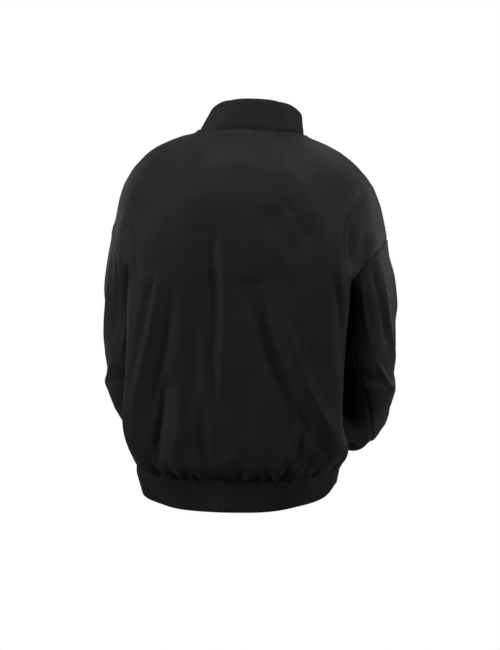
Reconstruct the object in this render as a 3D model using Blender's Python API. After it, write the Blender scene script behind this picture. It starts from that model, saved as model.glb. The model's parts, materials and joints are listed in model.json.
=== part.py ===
"""Bomber jacket, zipped up and filled out as if worn, with nobody inside.

Metres, +Z up. The front faces -Y and the wearer's left is +X. The origin is at the
back of the neck seam's height, midway between the shoulders that hold the jacket up.
Every cloth piece is a thin wall between an outer and an inner skin. The outer skins
come from the section tables below; neighbouring pieces share their seam's points and
are then drawn back half a seam gap each.
"""
from collections import namedtuple
from math import cos, pi, radians, sin

import bmesh
import bpy
import numpy as np
from mathutils import Matrix, Vector

# ---------------------------------------------------------------- driving sizes
CLOTH_WALL = 0.002
RIB_WALL = 0.0025
SEAM_GAP = 0.0003
SHARP_BELOW, SHARP_FADE = 1.4, 0.7      # a fold is sharp if its two normals sum to less
FRONT_EDGE_X = 0.006            # each front ends this far from the centre line

UNDERARM = (0.158, 0.0, -0.290)
SHOULDER_TIP = (0.246, 0.0, -0.185)
ARMHOLE_REACH = 0.112           # half the armhole's width, front to back
NECK_SIDE = (0.092, -0.003, -0.010)

SIDE_ROWS = 8                   # rows of facets along the side seam,
ARMHOLE_ROWS = 12               # along each half of the armhole,
SHOULDER_ROWS = 6               # and along the shoulder seam
HALF_COLUMNS = 9                # columns from the centre to the side
SLEEVE_ROWS = 13
RIB_ROWS = 3
COLLAR_ROWS = 4
UNDER_SLEEVE = (9, 15)          # the under sleeve's columns, of 2 * ARMHOLE_ROWS

# ---------------------------------------------------------------- section tables
# One row for each cross-section of a half panel. "at" runs 0-1 up the side seam,
# 1-2 up the armhole and 2-3 up the shoulder seam. z and depth are at the centre
# line, blade_x is where the panel starts to curve, lobe_* is the fullness beside
# the arm, turn is how roundly it folds under, flank_* is the cloth below the arm.
Section = namedtuple(
    "Section", "at z depth blade_x lobe_x lobe_y lobe_z turn flank_x flank_y flank_z")

BACK_SECTIONS = (
    Section(0.00, -0.614, 0.132, 0.085, 0.178, 0.122, -0.610, 0.050, 0.190, 0.035, -0.603),
    Section(0.10, -0.587, 0.150, 0.092, 0.194, 0.140, -0.584, 0.045, 0.180, 0.052, -0.580),
    Section(0.35, -0.505, 0.156, 0.100, 0.210, 0.148, -0.505, 0.034, 0.154, 0.078, -0.505),
    Section(0.70, -0.395, 0.156, 0.105, 0.209, 0.150, -0.395, 0.032, 0.141, 0.080, -0.395),
    Section(1.00, -0.290, 0.155, 0.105, 0.211, 0.150, -0.300, 0.034, 0.145, 0.080, -0.320),
    Section(1.25, -0.252, 0.154, 0.103, 0.208, 0.150, -0.266, 0.032, 0.157, 0.105, -0.296),
    Section(1.50, -0.215, 0.153, 0.100, 0.204, 0.149, -0.230, 0.030, 0.193, 0.132, -0.260),
    Section(2.00, -0.140, 0.145, 0.090, 0.180, 0.142, -0.156, 0.032, 0.232, 0.080, -0.150),
    Section(2.50, -0.064, 0.122, 0.070, 0.130, 0.117, -0.082, 0.030, 0.180, 0.062, -0.058),
    Section(3.00, 0.000, 0.066, 0.034, 0.078, 0.062, -0.002, 0.018, 0.095, 0.020, -0.006),
)
FRONT_SECTIONS = (
    Section(0.00, -0.608, 0.126, 0.070, 0.154, 0.112, -0.606, 0.050, 0.178, 0.045, -0.603),
    Section(0.10, -0.584, 0.142, 0.070, 0.148, 0.124, -0.583, 0.045, 0.144, 0.058, -0.581),
    Section(0.35, -0.505, 0.147, 0.065, 0.142, 0.132, -0.505, 0.045, 0.141, 0.066, -0.505),
    Section(0.70, -0.395, 0.150, 0.075, 0.158, 0.140, -0.395, 0.045, 0.143, 0.075, -0.395),
    Section(1.00, -0.290, 0.148, 0.080, 0.170, 0.142, -0.300, 0.040, 0.146, 0.078, -0.320),
    Section(1.25, -0.258, 0.146, 0.080, 0.173, 0.142, -0.268, 0.036, 0.157, 0.102, -0.296),
    Section(1.50, -0.228, 0.142, 0.080, 0.176, 0.140, -0.238, 0.030, 0.193, 0.128, -0.258),
    Section(2.00, -0.172, 0.130, 0.070, 0.160, 0.128, -0.170, 0.032, 0.232, 0.080, -0.152),
    Section(2.50, -0.124, 0.112, 0.050, 0.114, 0.106, -0.108, 0.028, 0.178, 0.060, -0.062),
    Section(3.00, -0.084, 0.092, 0.030, 0.078, 0.084, -0.066, 0.022, 0.096, 0.032, -0.024),
)
# The ribs' free edges, as one more section each.
HEM_END_BACK = Section(0, -0.673, 0.124, 0.080, 0.168, 0.110, -0.664, 0.050, 0.173, 0.035, -0.651)
HEM_END_FRONT = Section(0, -0.666, 0.120, 0.070, 0.148, 0.106, -0.661, 0.050, 0.169, 0.045, -0.652)
HEM_END_SIDE = (0.170, -0.005, -0.650)
COLLAR_END_BACK = Section(0, 0.052, 0.058, 0.028, 0.060, 0.055, 0.047, 0.016, 0.080, 0.022, 0.032)
COLLAR_END_FRONT = Section(
    0, -0.036, 0.083, 0.026, 0.068, 0.076, -0.022, 0.020, 0.084, 0.028, 0.010)
COLLAR_END_SIDE = (0.081, -0.003, 0.026)

Place = namedtuple("Place", "at x y z")
SIDE_SEAM = (
    Place(0.00, 0.182, -0.005, -0.602),
    Place(0.10, 0.166, -0.003, -0.580),
    Place(0.35, 0.157, 0.000, -0.505),
    Place(0.70, 0.153, 0.000, -0.395),
    Place(0.97, 0.154, 0.000, -0.302),
    Place(1.00, *UNDERARM),
)
SHOULDER_SEAM = (
    Place(2.00, *SHOULDER_TIP),
    Place(2.20, 0.234, 0.000, -0.128),
    Place(2.40, 0.214, 0.000, -0.085),
    Place(2.60, 0.180, 0.000, -0.049),
    Place(2.80, 0.136, -0.001, -0.024),
    Place(3.00, *NECK_SIDE),
)

# One row for each ring of the sleeve below the armhole: its centre, its half sizes
# across and along the arm's swing, how far it pitches forward and how far the
# seams have turned round the arm.
Ring = namedtuple("Ring", "at x y z across deep pitch turn")
SLEEVE_RINGS = (
    Ring(0.24, 0.2125, 0.000, -0.312, 0.0510, 0.088, 2.0, 2.0),
    Ring(0.45, 0.2125, 0.000, -0.392, 0.0525, 0.084, 10.0, 22.0),
    Ring(0.65, 0.2135, -0.022, -0.464, 0.0510, 0.076, 34.0, 52.0),
    Ring(0.85, 0.2055, -0.082, -0.525, 0.0445, 0.060, 52.0, 70.0),
    Ring(0.95, 0.1990, -0.118, -0.549, 0.0410, 0.052, 56.0, 74.0),
    Ring(1.00, 0.1960, -0.132, -0.558, 0.0370, 0.041, 57.0, 75.0),
)
CUFF_END = Ring(2.0, 0.1850, -0.180, -0.589, 0.0350, 0.038, 57.0, 75.0)

# The largest folds of the back and front: a straight run from "top" to "low" on
# the panel seen from behind, how far it sinks (+) or stands (-) and its half width.
Fold = namedtuple("Fold", "side top_x top_z low_x low_z sink half_width")
FOLDS = (
    Fold(+1, 0.160, -0.265, 0.212, -0.520, -0.005, 0.016),
    Fold(+1, -0.020, -0.270, -0.135, -0.585, 0.006, 0.018),
    Fold(+1, -0.055, -0.150, -0.095, -0.200, 0.004, 0.022),
    Fold(+1, 0.060, -0.180, 0.066, -0.560, 0.003, 0.020),
    Fold(-1, 0.110, -0.240, 0.060, -0.560, 0.006, 0.020),
    Fold(-1, -0.120, -0.220, -0.050, -0.420, 0.005, 0.018),
    Fold(-1, -0.070, -0.430, -0.120, -0.600, -0.005, 0.018),
)

# The pose: the back and hem lean to the wearer's left, the right shoulder is low.
Lean = namedtuple("Lean", "z shift")
BACK_LEAN = (Lean(-0.68, 0.030), Lean(-0.61, 0.028), Lean(-0.40, 0.015),
             Lean(-0.27, 0.009), Lean(-0.12, 0.002), Lean(0.06, 0.0))
LEAN_Y = (0.075, 0.125)                 # where along Y the back's lean sets in
HEM_LEAN_Y = (-0.110, 0.100)            # and where it does at the hem
HEM_LEAN_Z = (-0.560, -0.625)
COLLAR_LEAN = 0.015                     # the collar's edge leans to the wearer's right
COLLAR_LEAN_Z = (-0.045, 0.060)
FOLD_SETS_IN = (0.09, 0.12)             # where along Y the panels' folds set in
SHOULDER_ROLL = radians(2.5)
ROLL_FULL_Z, ROLL_ENDS_Z = -0.28, -0.52

# ---------------------------------------------------------------- the zip
TAPE_EDGE_X = (0.0025, 0.0165)
TAPE_DEPTH = RIB_WALL + SEAM_GAP        # the tape lies behind the thickest wall
TAPE_WALL = 0.0007
CHAIN_HALF_WIDTH = 0.0022
CHAIN_FACE = 0.0006                     # how far the teeth lie behind the cloth's face
CHAIN_BACK = TAPE_DEPTH + TAPE_WALL
ZIP_TOP_DROP = 0.006                    # tapes stop this far below the collar's edge
SLIDER_LENGTH, SLIDER_HALF_WIDTH, SLIDER_PLATE = 0.0115, 0.0044, 0.0011
SLIDER_CLEAR = 0.0003
SLIDER_DROP = 0.0140                    # slider's middle below the collar's edge
POST_HALF_WIDTH = 0.0012                # the post that parts the teeth
BAIL_RISE, BAIL_HALF_WIDTH, BAIL_LENGTH, BAIL_WALL = 0.0032, 0.0011, 0.0078, 0.0010
TAB_LENGTH, TAB_HALF_WIDTH, TAB_WALL = 0.026, 0.0032, 0.0012
TAB_BAR_RADIUS = 0.0008
TAB_HOLE = (0.0015, 0.0062)             # the tab's hole: half width and length
BOX_LENGTH, BOX_HALF_WIDTH = 0.010, 0.0040

CLOTH = ("black_cloth", (0.014, 0.014, 0.016), 0.55, 0.0)
RIB = ("black_rib", (0.010, 0.010, 0.012), 0.85, 0.0)
TAPE = ("black_tape", (0.009, 0.009, 0.010), 0.80, 0.0)
METAL = ("dark_metal", (0.05, 0.05, 0.055), 0.35, 1.0)


# ---------------------------------------------------------------- curves
def read_column(table, column, at):
    """A table's column at the stations `at`, as a curve without overshoot."""
    x = np.array([row.at if hasattr(row, "at") else row.z for row in table], float)
    y = np.array([getattr(row, column) for row in table], float)
    at = np.clip(np.asarray(at, float), x[0], x[-1])
    step = np.diff(x)
    slope = np.diff(y) / step
    bend = np.zeros_like(y)
    bend[0], bend[-1] = slope[0], slope[-1]
    same = slope[:-1] * slope[1:] > 0
    weight = (step[:-1] + 2 * step[1:], 2 * step[:-1] + step[1:])
    safe = np.where(same, slope[:-1] * slope[1:], 1.0)
    mean = (weight[0] + weight[1]) * safe / (weight[0] * slope[1:] + weight[1] * slope[:-1] + 1e-30)
    bend[1:-1] = np.where(same, mean, 0.0)
    i = np.clip(np.searchsorted(x, at, side="right") - 1, 0, len(x) - 2)
    t = (at - x[i]) / step[i]
    return (y[i] * (1 + 2 * t) * (1 - t) ** 2 + bend[i] * step[i] * t * (1 - t) ** 2
            + y[i + 1] * t * t * (3 - 2 * t) + bend[i + 1] * step[i] * t * t * (t - 1))


def read_place(table, at):
    return np.stack([read_column(table, axis, at) for axis in "xyz"], axis=-1)


def smooth_step(low, high, value):
    t = np.clip((value - low) / (high - low), 0.0, 1.0)
    return t * t * (3 - 2 * t)


def spline_through_controls(controls, count):
    """`count` points along the clamped cubic B-spline of six controls."""
    knots = np.array([0, 0, 0, 0, 1, 2, 3, 3, 3, 3], float)
    points = []
    for value in np.linspace(0, 3, count):
        k = min(int(value), 2) + 3
        d = [controls[j + k - 3] for j in range(4)]
        for level in range(1, 4):
            for j in range(3, level - 1, -1):
                left = knots[j + k - 3]
                share = (value - left) / (knots[j + 1 + k - level] - left)
                d[j] = d[j - 1] * (1 - share) + d[j] * share
        points.append(d[3])
    return np.array(points)


def half_section(section, centre_x, side, edge, columns):
    """The half row from the centre to `edge`; side is +1 at the back, -1 in front."""
    s = section
    return spline_through_controls([np.array(p, float) for p in (
        (centre_x, side * s.depth, s.z),
        (s.blade_x, side * s.depth, s.z),
        (s.lobe_x - s.turn, side * s.lobe_y, s.lobe_z),
        (s.lobe_x, side * (s.lobe_y - s.turn), s.lobe_z),
        (s.flank_x, side * s.flank_y, s.flank_z),
        edge)], columns + 1)


def armhole(angle):
    """The armhole seam: angle 0 at the shoulder's tip, pi/2 at the back, pi underneath."""
    low, top = np.array(UNDERARM), np.array(SHOULDER_TIP)
    middle, rise = (low + top) / 2, (top - low) / 2
    angle = np.asarray(angle, float)[..., None]
    return middle + rise * np.cos(angle) + np.array((0, ARMHOLE_REACH, 0)) * np.sin(angle)


def panel_edge(at, side):
    """Where a half panel ends at each station: side seam, armhole, shoulder seam."""
    at = np.asarray(at, float)
    hole = armhole(pi * (1 - np.clip(at - 1, 0, 1)))
    hole[..., 1] *= side
    edge = np.where((at <= 1)[..., None], read_place(SIDE_SEAM, at), hole)
    return np.where((at >= 2)[..., None], read_place(SHOULDER_SEAM, at), edge)


def panel_stations():
    side = np.linspace(0, 1, SIDE_ROWS + 1)
    hole = np.linspace(1, 2, ARMHOLE_ROWS + 1)
    shoulder = np.linspace(2, 3, SHOULDER_ROWS + 1)
    return np.concatenate((side[:-1], hole[:-1], shoulder))


def half_panel(table, centre_x, side):
    """A half panel's grid of points, rows upward and columns from centre to edge."""
    rows = []
    for at, edge in zip(panel_stations(), panel_edge(panel_stations(), side)):
        section = Section(at, *(read_column(table, name, at) for name in Section._fields[1:]))
        rows.append(half_section(section, centre_x, side, edge, HALF_COLUMNS))
    return np.array(rows)


def mirrored(grid):
    return grid * np.array((-1, 1, 1))


def sleeve_angles():
    return np.linspace(0, 2 * pi, 2 * ARMHOLE_ROWS, endpoint=False)


def sleeve_ring(ring, angles):
    """One ring of the sleeve, its plane pitched forward about X."""
    turned = angles - radians(ring.turn)
    pitch = radians(ring.pitch)
    across = np.array((1.0, 0, 0))
    deep = np.array((0, cos(pitch), -sin(pitch)))
    centre = np.array((ring.x, ring.y, ring.z))
    return (centre + ring.across * np.cos(turned)[:, None] * across
            + ring.deep * np.sin(turned)[:, None] * deep)


def sleeve_grid():
    """The whole sleeve's grid, rows down the arm, columns round it from the tip."""
    angles = sleeve_angles()
    stations = [0.0] + [ring.at for ring in SLEEVE_RINGS]
    known = [armhole(angles)] + [sleeve_ring(ring, angles) for ring in SLEEVE_RINGS]
    known = np.array(known)
    rows = []
    for at in np.linspace(0, 1, SLEEVE_ROWS + 1):
        row = np.empty_like(known[0])
        for column in range(len(angles)):
            table = [Place(station, *point) for station, point in zip(stations, known[:, column])]
            row[column] = read_place(table, at)
        rows.append(row)
    return np.array(rows)


# ---------------------------------------------------------------- the pose
def settled(points):
    """The worn pose: the lean of back and hem, then the roll of the shoulders."""
    p = np.array(points, float)
    x, y, z = p[..., 0], p[..., 1], p[..., 2]
    at_hem = smooth_step(*HEM_LEAN_Z, z)
    reach = smooth_step(*LEAN_Y, y) * (1 - at_hem) + smooth_step(*HEM_LEAN_Y, y) * at_hem
    x = x + read_column(BACK_LEAN, "shift", z) * reach
    x = x - COLLAR_LEAN * smooth_step(*COLLAR_LEAN_Z, z)
    roll = SHOULDER_ROLL * (1 - smooth_step(ROLL_FULL_Z, ROLL_ENDS_Z, z))
    return np.stack((x * np.cos(roll), y, z * np.cos(roll) + x * np.sin(roll)), axis=-1)


def folded(points):
    """Sink or raise the panels along Y by the table of folds."""
    p = np.array(points, float)
    for fold in FOLDS:
        top, low = np.array((fold.top_x, fold.top_z)), np.array((fold.low_x, fold.low_z))
        run = low - top
        flat = p[..., (0, 2)] - top
        along = np.clip(flat @ run / (run @ run), 0, 1)
        off = np.linalg.norm(flat - along[..., None] * run, axis=-1)
        depth = fold.sink * np.exp(-(off / fold.half_width) ** 2)
        depth *= smooth_step(*FOLD_SETS_IN, fold.side * p[..., 1])
        p[..., 1] -= fold.side * depth
    return p


# ---------------------------------------------------------------- walls
Patch = namedtuple("Patch", "name group grid wall material wraps")


def grid_normals(grid, wraps):
    """Vertex normals of one grid, out of the jacket."""
    across = np.gradient(grid, axis=1)
    if wraps:
        across = (np.roll(grid, -1, axis=1) - np.roll(grid, 1, axis=1)) / 2
    down = np.gradient(grid, axis=0)
    normal = np.cross(down, across)
    return normal / (np.linalg.norm(normal, axis=-1, keepdims=True) + 1e-12)


def point_key(point):
    return tuple(np.round(point * 1e5).astype(int))


def unit(vectors):
    return vectors / (np.linalg.norm(vectors, axis=-1, keepdims=True) + 1e-12)


def dot(first, second):
    return np.sum(first * second, axis=-1, keepdims=True)


def borders(grid, wraps):
    """Each border of a grid: an index for its points and one for those just inside."""
    everything = slice(None)
    runs = [((0, everything), (1, everything)), ((-1, everything), (-2, everything))]
    if not wraps:
        runs += [((everything, 0), (everything, 1)), ((everything, -1), (everything, -2))]
    return runs


def shared_normals(patches):
    """Each patch's normals, with one common normal at every shared seam point.

    Where two pieces meet in a fold so sharp that their normals all but cancel, the
    common normal leaves the fold midway between them.
    """
    own = [grid_normals(patch.grid, patch.wraps) for patch in patches]
    out, inward = {}, {}
    for patch, normals in zip(patches, own):
        for point, normal in zip(patch.grid.reshape(-1, 3), normals.reshape(-1, 3)):
            groups = out.setdefault(point_key(point), {})
            groups[patch.group] = groups.get(patch.group, 0) + normal
        for edge, inner in borders(patch.grid, patch.wraps):
            along = unit(np.gradient(patch.grid[edge], axis=0))
            inside = patch.grid[inner] - patch.grid[edge]
            inside = unit(inside - along * dot(inside, along))
            for point, way in zip(patch.grid[edge], inside):
                groups = inward.setdefault(point_key(point), {})
                groups[patch.group] = groups.get(patch.group, 0) + way
    result = []
    for patch, normals in zip(patches, own):
        shared = []
        for point in patch.grid.reshape(-1, 3):
            key = point_key(point)
            faces = [unit(value) for value in out[key].values()]
            total = sum(faces)
            sharp = float(np.clip((SHARP_BELOW - np.linalg.norm(total)) / SHARP_FADE, 0, 1))
            if len(faces) > 1 and sharp > 0:
                ways = [unit(value) for value in inward[key].values()]
                hollow = np.dot(faces[0], ways[1]) + np.dot(faces[1], ways[0])
                total = total + sharp * np.sign(hollow) * sum(ways)
            shared.append(unit(total))
        result.append(np.array(shared).reshape(normals.shape))
    return result


def drawn_back(grid, normals, wraps):
    """The grid with its border moved half a seam gap into the patch.

    The way in lies across the seam and square to the shared normal: the patch's own
    way in, turned as far as the shared normal is turned from the patch's own.
    """
    moved = grid.copy()
    own = grid_normals(grid, wraps)
    for edge, inner in borders(grid, wraps):
        segment = np.diff(grid[edge], axis=0)
        face = normals[edge].copy()
        if not wraps:
            face[0], face[-1] = own[edge][0], own[edge][-1]
        along = unit(np.gradient(grid[edge], axis=0))
        inside = grid[inner] - grid[edge]
        inside = unit(inside - along * dot(inside, along))
        turned = inside * dot(face, own[edge]) - own[edge] * dot(face, inside)
        ways = []
        for run in (np.concatenate((segment[:1], segment)), np.concatenate((segment, segment[-1:]))):
            way = unit(np.cross(face, run))
            ways.append(way * np.where(dot(way, turned) < 0, -1.0, 1.0))
        corner = 1 + dot(*ways)
        moved[edge] += (ways[0] + ways[1]) / np.maximum(corner, 0.5) * SEAM_GAP / 2
    return moved


def grid_faces(rows, columns, wraps):
    faces = []
    for r in range(rows - 1):
        for c in range(columns if wraps else columns - 1):
            d = (c + 1) % columns
            faces.append((r * columns + c, r * columns + d, (r + 1) * columns + d, (r + 1) * columns + c))
    return faces


def wall_mesh(outer, inner, wraps):
    """Vertices and faces of the closed wall between two grids."""
    rows, columns = outer.shape[:2]
    count = rows * columns
    points = np.concatenate((outer.reshape(-1, 3), inner.reshape(-1, 3)))
    faces = grid_faces(rows, columns, wraps)
    faces += [tuple(count + i for i in reversed(face)) for face in faces]
    border = []
    for r in (0, rows - 1):
        run = [r * columns + c for c in range(columns)] + ([r * columns] if wraps else [])
        border.append(run if r else run[::-1])
    if not wraps:
        border.append([r * columns for r in range(rows)])
        border.append([r * columns + columns - 1 for r in range(rows - 1, -1, -1)])
    for run in border:
        faces += [(b, a, a + count, b + count) for a, b in zip(run[:-1], run[1:])]
    return points, faces


def material_of(finish):
    name, colour, roughness, metallic = finish
    found = bpy.data.materials.get(name)
    if found:
        return found
    made = bpy.data.materials.new(name)
    made.use_nodes = True
    shader = made.node_tree.nodes["Principled BSDF"]
    shader.inputs["Base Color"].default_value = (*colour, 1.0)
    shader.inputs["Roughness"].default_value = roughness
    shader.inputs["Metallic"].default_value = metallic
    return made


def add_object(name, points, faces, finish, smooth=True):
    mesh = bpy.data.meshes.new(name)
    mesh.from_pydata([tuple(point) for point in points], [], faces)
    work = bmesh.new()
    work.from_mesh(mesh)
    bmesh.ops.recalc_face_normals(work, faces=work.faces)
    bmesh.ops.triangulate(work, faces=work.faces)
    work.to_mesh(mesh)
    work.free()
    if smooth:
        mesh.shade_smooth()
        mesh.set_sharp_from_angle(angle=radians(40))
    mesh.materials.append(material_of(finish))
    made = bpy.data.objects.new(name, mesh)
    bpy.context.collection.objects.link(made)
    return made


# ---------------------------------------------------------------- cloth pieces
def body_patches():
    back = half_panel(BACK_SECTIONS, 0.0, +1)
    back = np.concatenate((mirrored(back)[:, :0:-1], back), axis=1)
    front = half_panel(FRONT_SECTIONS, FRONT_EDGE_X, -1)
    return {"back": back, "front_left": front[:, ::-1], "front_right": mirrored(front)}


def rib_between(seam_row, end_row, rows):
    return np.array([seam_row + (end_row - seam_row) * t for t in np.linspace(0, 1, rows + 1)])


def ring_row(back_section, front_section, side_point):
    """A whole rib's free edge, from the left front round the back to the right front."""
    side_point = np.array(side_point)
    back = half_section(back_section, 0.0, +1, side_point, HALF_COLUMNS)
    front = half_section(front_section, FRONT_EDGE_X, -1, side_point, HALF_COLUMNS)
    left = np.concatenate((front[:-1], back[:0:-1]))
    return np.concatenate((left, [back[0]], mirrored(left)[::-1]))


def seam_row_of(body, row):
    """The body's own top or bottom row in the same order as ring_row."""
    left_front = body["front_left"][row][::-1]
    back = body["back"][row][::-1]
    return np.concatenate((left_front[:-1], back, body["front_right"][row][::-1][1:]))


def cloth_patches():
    body = body_patches()
    patches = [Patch(name, "body", grid, CLOTH_WALL, CLOTH, False) for name, grid in body.items()]
    hem_end = ring_row(HEM_END_BACK, HEM_END_FRONT, HEM_END_SIDE)
    hem = rib_between(seam_row_of(body, 0), hem_end, RIB_ROWS)[::-1, ::-1]
    patches.append(Patch("hem_rib", "hem", hem, RIB_WALL, RIB, False))
    collar_end = ring_row(COLLAR_END_BACK, COLLAR_END_FRONT, COLLAR_END_SIDE)
    collar = rib_between(seam_row_of(body, -1), collar_end, COLLAR_ROWS)[:, ::-1]
    patches.append(Patch("collar", "collar", collar, RIB_WALL, RIB, False))
    sleeve = sleeve_grid()
    first, last = UNDER_SLEEVE
    upper_columns = np.roll(np.arange(2 * ARMHOLE_ROWS), -last)
    upper_columns = np.append(upper_columns[:first - last + 2 * ARMHOLE_ROWS], first)
    pieces = {"upper": sleeve[:, upper_columns], "under": sleeve[:, first:last + 1]}
    cuff = rib_between(sleeve[-1], sleeve_ring(CUFF_END, sleeve_angles()), RIB_ROWS)
    for side, flip in (("left", lambda grid: grid), ("right", lambda grid: mirrored(grid)[:, ::-1])):
        for piece, grid in pieces.items():
            patches.append(Patch(f"sleeve_{side}_{piece}", f"sleeve_{side}", flip(grid),
                                 CLOTH_WALL, CLOTH, False))
        patches.append(Patch(f"cuff_{side}", f"cuff_{side}", flip(cuff), RIB_WALL, RIB, True))
    return [patch._replace(grid=settled(folded(patch.grid))) for patch in patches]


def build_cloth():
    patches = cloth_patches()
    for patch, normals in zip(patches, shared_normals(patches)):
        outer = drawn_back(patch.grid, normals, patch.wraps)
        inner = outer - normals * patch.wall
        add_object(patch.name, *wall_mesh(outer, inner, patch.wraps), patch.material)
    return patches


# ---------------------------------------------------------------- zip pieces
def front_edge(patches, side):
    """The front's centre edge from hem to collar: its points, normals and the way outward in X."""
    named = {patch.name: (patch.grid, normal) for patch, normal in zip(patches, shared_normals(patches))}
    column, inner = (-1, -2) if side == "left" else (0, 1)
    points, beside, normals = [], [], []
    for name in ("hem_rib", f"front_{side}", "collar"):
        grid, normal = named[name]
        start = 0 if not points else 1
        points += list(grid[start:, column])
        beside += list(grid[start:, inner])
        normals += list(normal[start:, column])
    points, beside, normals = np.array(points), np.array(beside), np.array(normals)
    across = beside - points
    across /= np.linalg.norm(across, axis=-1, keepdims=True)
    normals *= (0, 1, 1)
    normals /= np.linalg.norm(normals, axis=-1, keepdims=True)
    return points, across, normals


def trimmed(rows, start, end):
    """Rows of several arrays along one line, cut to begin and end at given lengths."""
    points = rows[0]
    run = np.concatenate(([0], np.cumsum(np.linalg.norm(np.diff(points, axis=0), axis=1))))
    stop = run[-1] - end
    keep = run[(run > start + CHAIN_HALF_WIDTH) & (run < stop - CHAIN_HALF_WIDTH)]
    at = np.concatenate(([start], keep, [stop]))
    return [np.stack([np.interp(at, run, row[:, axis]) for axis in range(3)], axis=-1) for row in rows]


def build_tape(patches, side):
    edge, across, normals = trimmed(front_edge(patches, side), BOX_LENGTH + 2 * SEAM_GAP, ZIP_TOP_DROP)
    columns = [edge + across * (x - FRONT_EDGE_X) - normals * TAPE_DEPTH for x in TAPE_EDGE_X]
    outer = np.stack(columns[::-1] if side == "left" else columns, axis=1)
    inner = outer - normals[:, None] * TAPE_WALL
    add_object(f"zip_tape_{side}", *wall_mesh(outer, inner, False), TAPE)


def centre_line(patches):
    """The zip's centre: points on the cloth's outer face, and normals."""
    left, _, left_normals = front_edge(patches, "left")
    right, _, right_normals = front_edge(patches, "right")
    normals = left_normals + right_normals
    normals /= np.linalg.norm(normals, axis=-1, keepdims=True)
    return (left + right) / 2, normals


def frame_at(patches, below_top):
    """A matrix on the zip's centre line: X across, Y up the zip, Z out of the cloth."""
    points, normals = centre_line(patches)
    run = np.concatenate(([0], np.cumsum(np.linalg.norm(np.diff(points, axis=0), axis=1))))
    at = run[-1] - below_top
    place = Vector([float(np.interp(at, run, points[:, axis])) for axis in range(3)])
    out = Vector([float(np.interp(at, run, normals[:, axis])) for axis in range(3)]).normalized()
    across = Vector((1, 0, 0))
    upward = out.cross(across).normalized()
    return Matrix.Translation(place) @ Matrix((across, upward, out)).transposed().to_4x4()


def build_chain(patches):
    points, normals = trimmed(centre_line(patches), BOX_LENGTH + 2 * SEAM_GAP,
                              SLIDER_DROP - SLIDER_LENGTH / 4)
    sides = [np.array((x, 0, 0)) for x in (-CHAIN_HALF_WIDTH, CHAIN_HALF_WIDTH)]
    outer = np.stack([points + side - normals * CHAIN_FACE for side in sides], axis=1)
    inner = np.stack([points + side - normals * CHAIN_BACK for side in sides], axis=1)
    add_object("zip_chain", *wall_mesh(outer, inner, False), METAL, smooth=False)


def block(name, low, high, matrix, finish=METAL):
    """A box between two corners of a frame."""
    made = add_object(name, [(x, y, z) for x in (low[0], high[0]) for y in (low[1], high[1])
                             for z in (low[2], high[2])],
                      [(0, 1, 3, 2), (4, 6, 7, 5), (0, 4, 5, 1), (2, 3, 7, 6), (0, 2, 6, 4), (1, 5, 7, 3)],
                      finish, smooth=False)
    made.matrix_world = matrix
    return made


def round_bar(name, half_length, radius, matrix):
    """A short bar along X."""
    work = bmesh.new()
    bmesh.ops.create_cone(work, cap_ends=True, segments=12, radius1=radius, radius2=radius,
                          depth=2 * half_length, matrix=Matrix.Rotation(pi / 2, 4, "Y"))
    mesh = bpy.data.meshes.new(name)
    work.to_mesh(mesh)
    work.free()
    made = bpy.data.objects.new(name, mesh)
    bpy.context.collection.objects.link(made)
    made.matrix_world = matrix
    return made


def combine(base, other, operation):
    """Join or cut with a helper that is itself left out of the jacket."""
    other.hide_render = True
    other.display_type = "WIRE"
    change = base.modifiers.new(other.name, "BOOLEAN")
    change.operation = operation
    change.object = other


def build_slider(patches):
    matrix = frame_at(patches, SLIDER_DROP)
    half = SLIDER_LENGTH / 2
    face = -CHAIN_FACE + SLIDER_CLEAR
    rear = -CHAIN_BACK - SLIDER_CLEAR
    slider = block("zip_slider", (-SLIDER_HALF_WIDTH, -half, face),
                   (SLIDER_HALF_WIDTH, half, face + SLIDER_PLATE), matrix)
    pieces = (("rear_plate", (-SLIDER_HALF_WIDTH, -half, rear - SLIDER_PLATE),
               (SLIDER_HALF_WIDTH, half, rear)),
              ("post", (-POST_HALF_WIDTH, SLIDER_LENGTH / 4 + SLIDER_CLEAR, rear - SLIDER_PLATE / 2),
               (POST_HALF_WIDTH, half - SLIDER_CLEAR, face + SLIDER_PLATE / 2)))
    top = face + SLIDER_PLATE
    for name, low, high in pieces:
        combine(slider, block("slider_" + name, low, high, matrix), "UNION")
    arch = block("slider_arch", (-BAIL_HALF_WIDTH, -BAIL_LENGTH / 2, top - SLIDER_PLATE / 2),
                 (BAIL_HALF_WIDTH, BAIL_LENGTH / 2, top + BAIL_RISE), matrix)
    hollow = block("slider_arch_hollow",
                   (-SLIDER_HALF_WIDTH, -BAIL_LENGTH / 2 + BAIL_WALL, top - SLIDER_PLATE),
                   (SLIDER_HALF_WIDTH, BAIL_LENGTH / 2 - BAIL_WALL, top + BAIL_RISE - BAIL_WALL), matrix)
    combine(arch, hollow, "DIFFERENCE")
    combine(slider, arch, "UNION")
    return matrix @ Matrix.Translation((0, 0, top + SLIDER_CLEAR + TAB_BAR_RADIUS))


def build_pull(hinge):
    """The pull tab, its origin on the hinge: it hangs down the zip from its own bar."""
    thin, wide = TAB_WALL / 2, TAB_HALF_WIDTH
    pull = block("zip_pull", (-wide, -TAB_LENGTH, -thin), (wide, TAB_BAR_RADIUS / 2, thin), hinge)
    hole = block("pull_hole", (-TAB_HOLE[0], -TAB_HOLE[1], -4 * thin),
                 (TAB_HOLE[0], -TAB_BAR_RADIUS / 2, 4 * thin), hinge)
    combine(pull, hole, "DIFFERENCE")
    combine(pull, round_bar("pull_bar", wide, TAB_BAR_RADIUS, hinge), "UNION")


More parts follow.
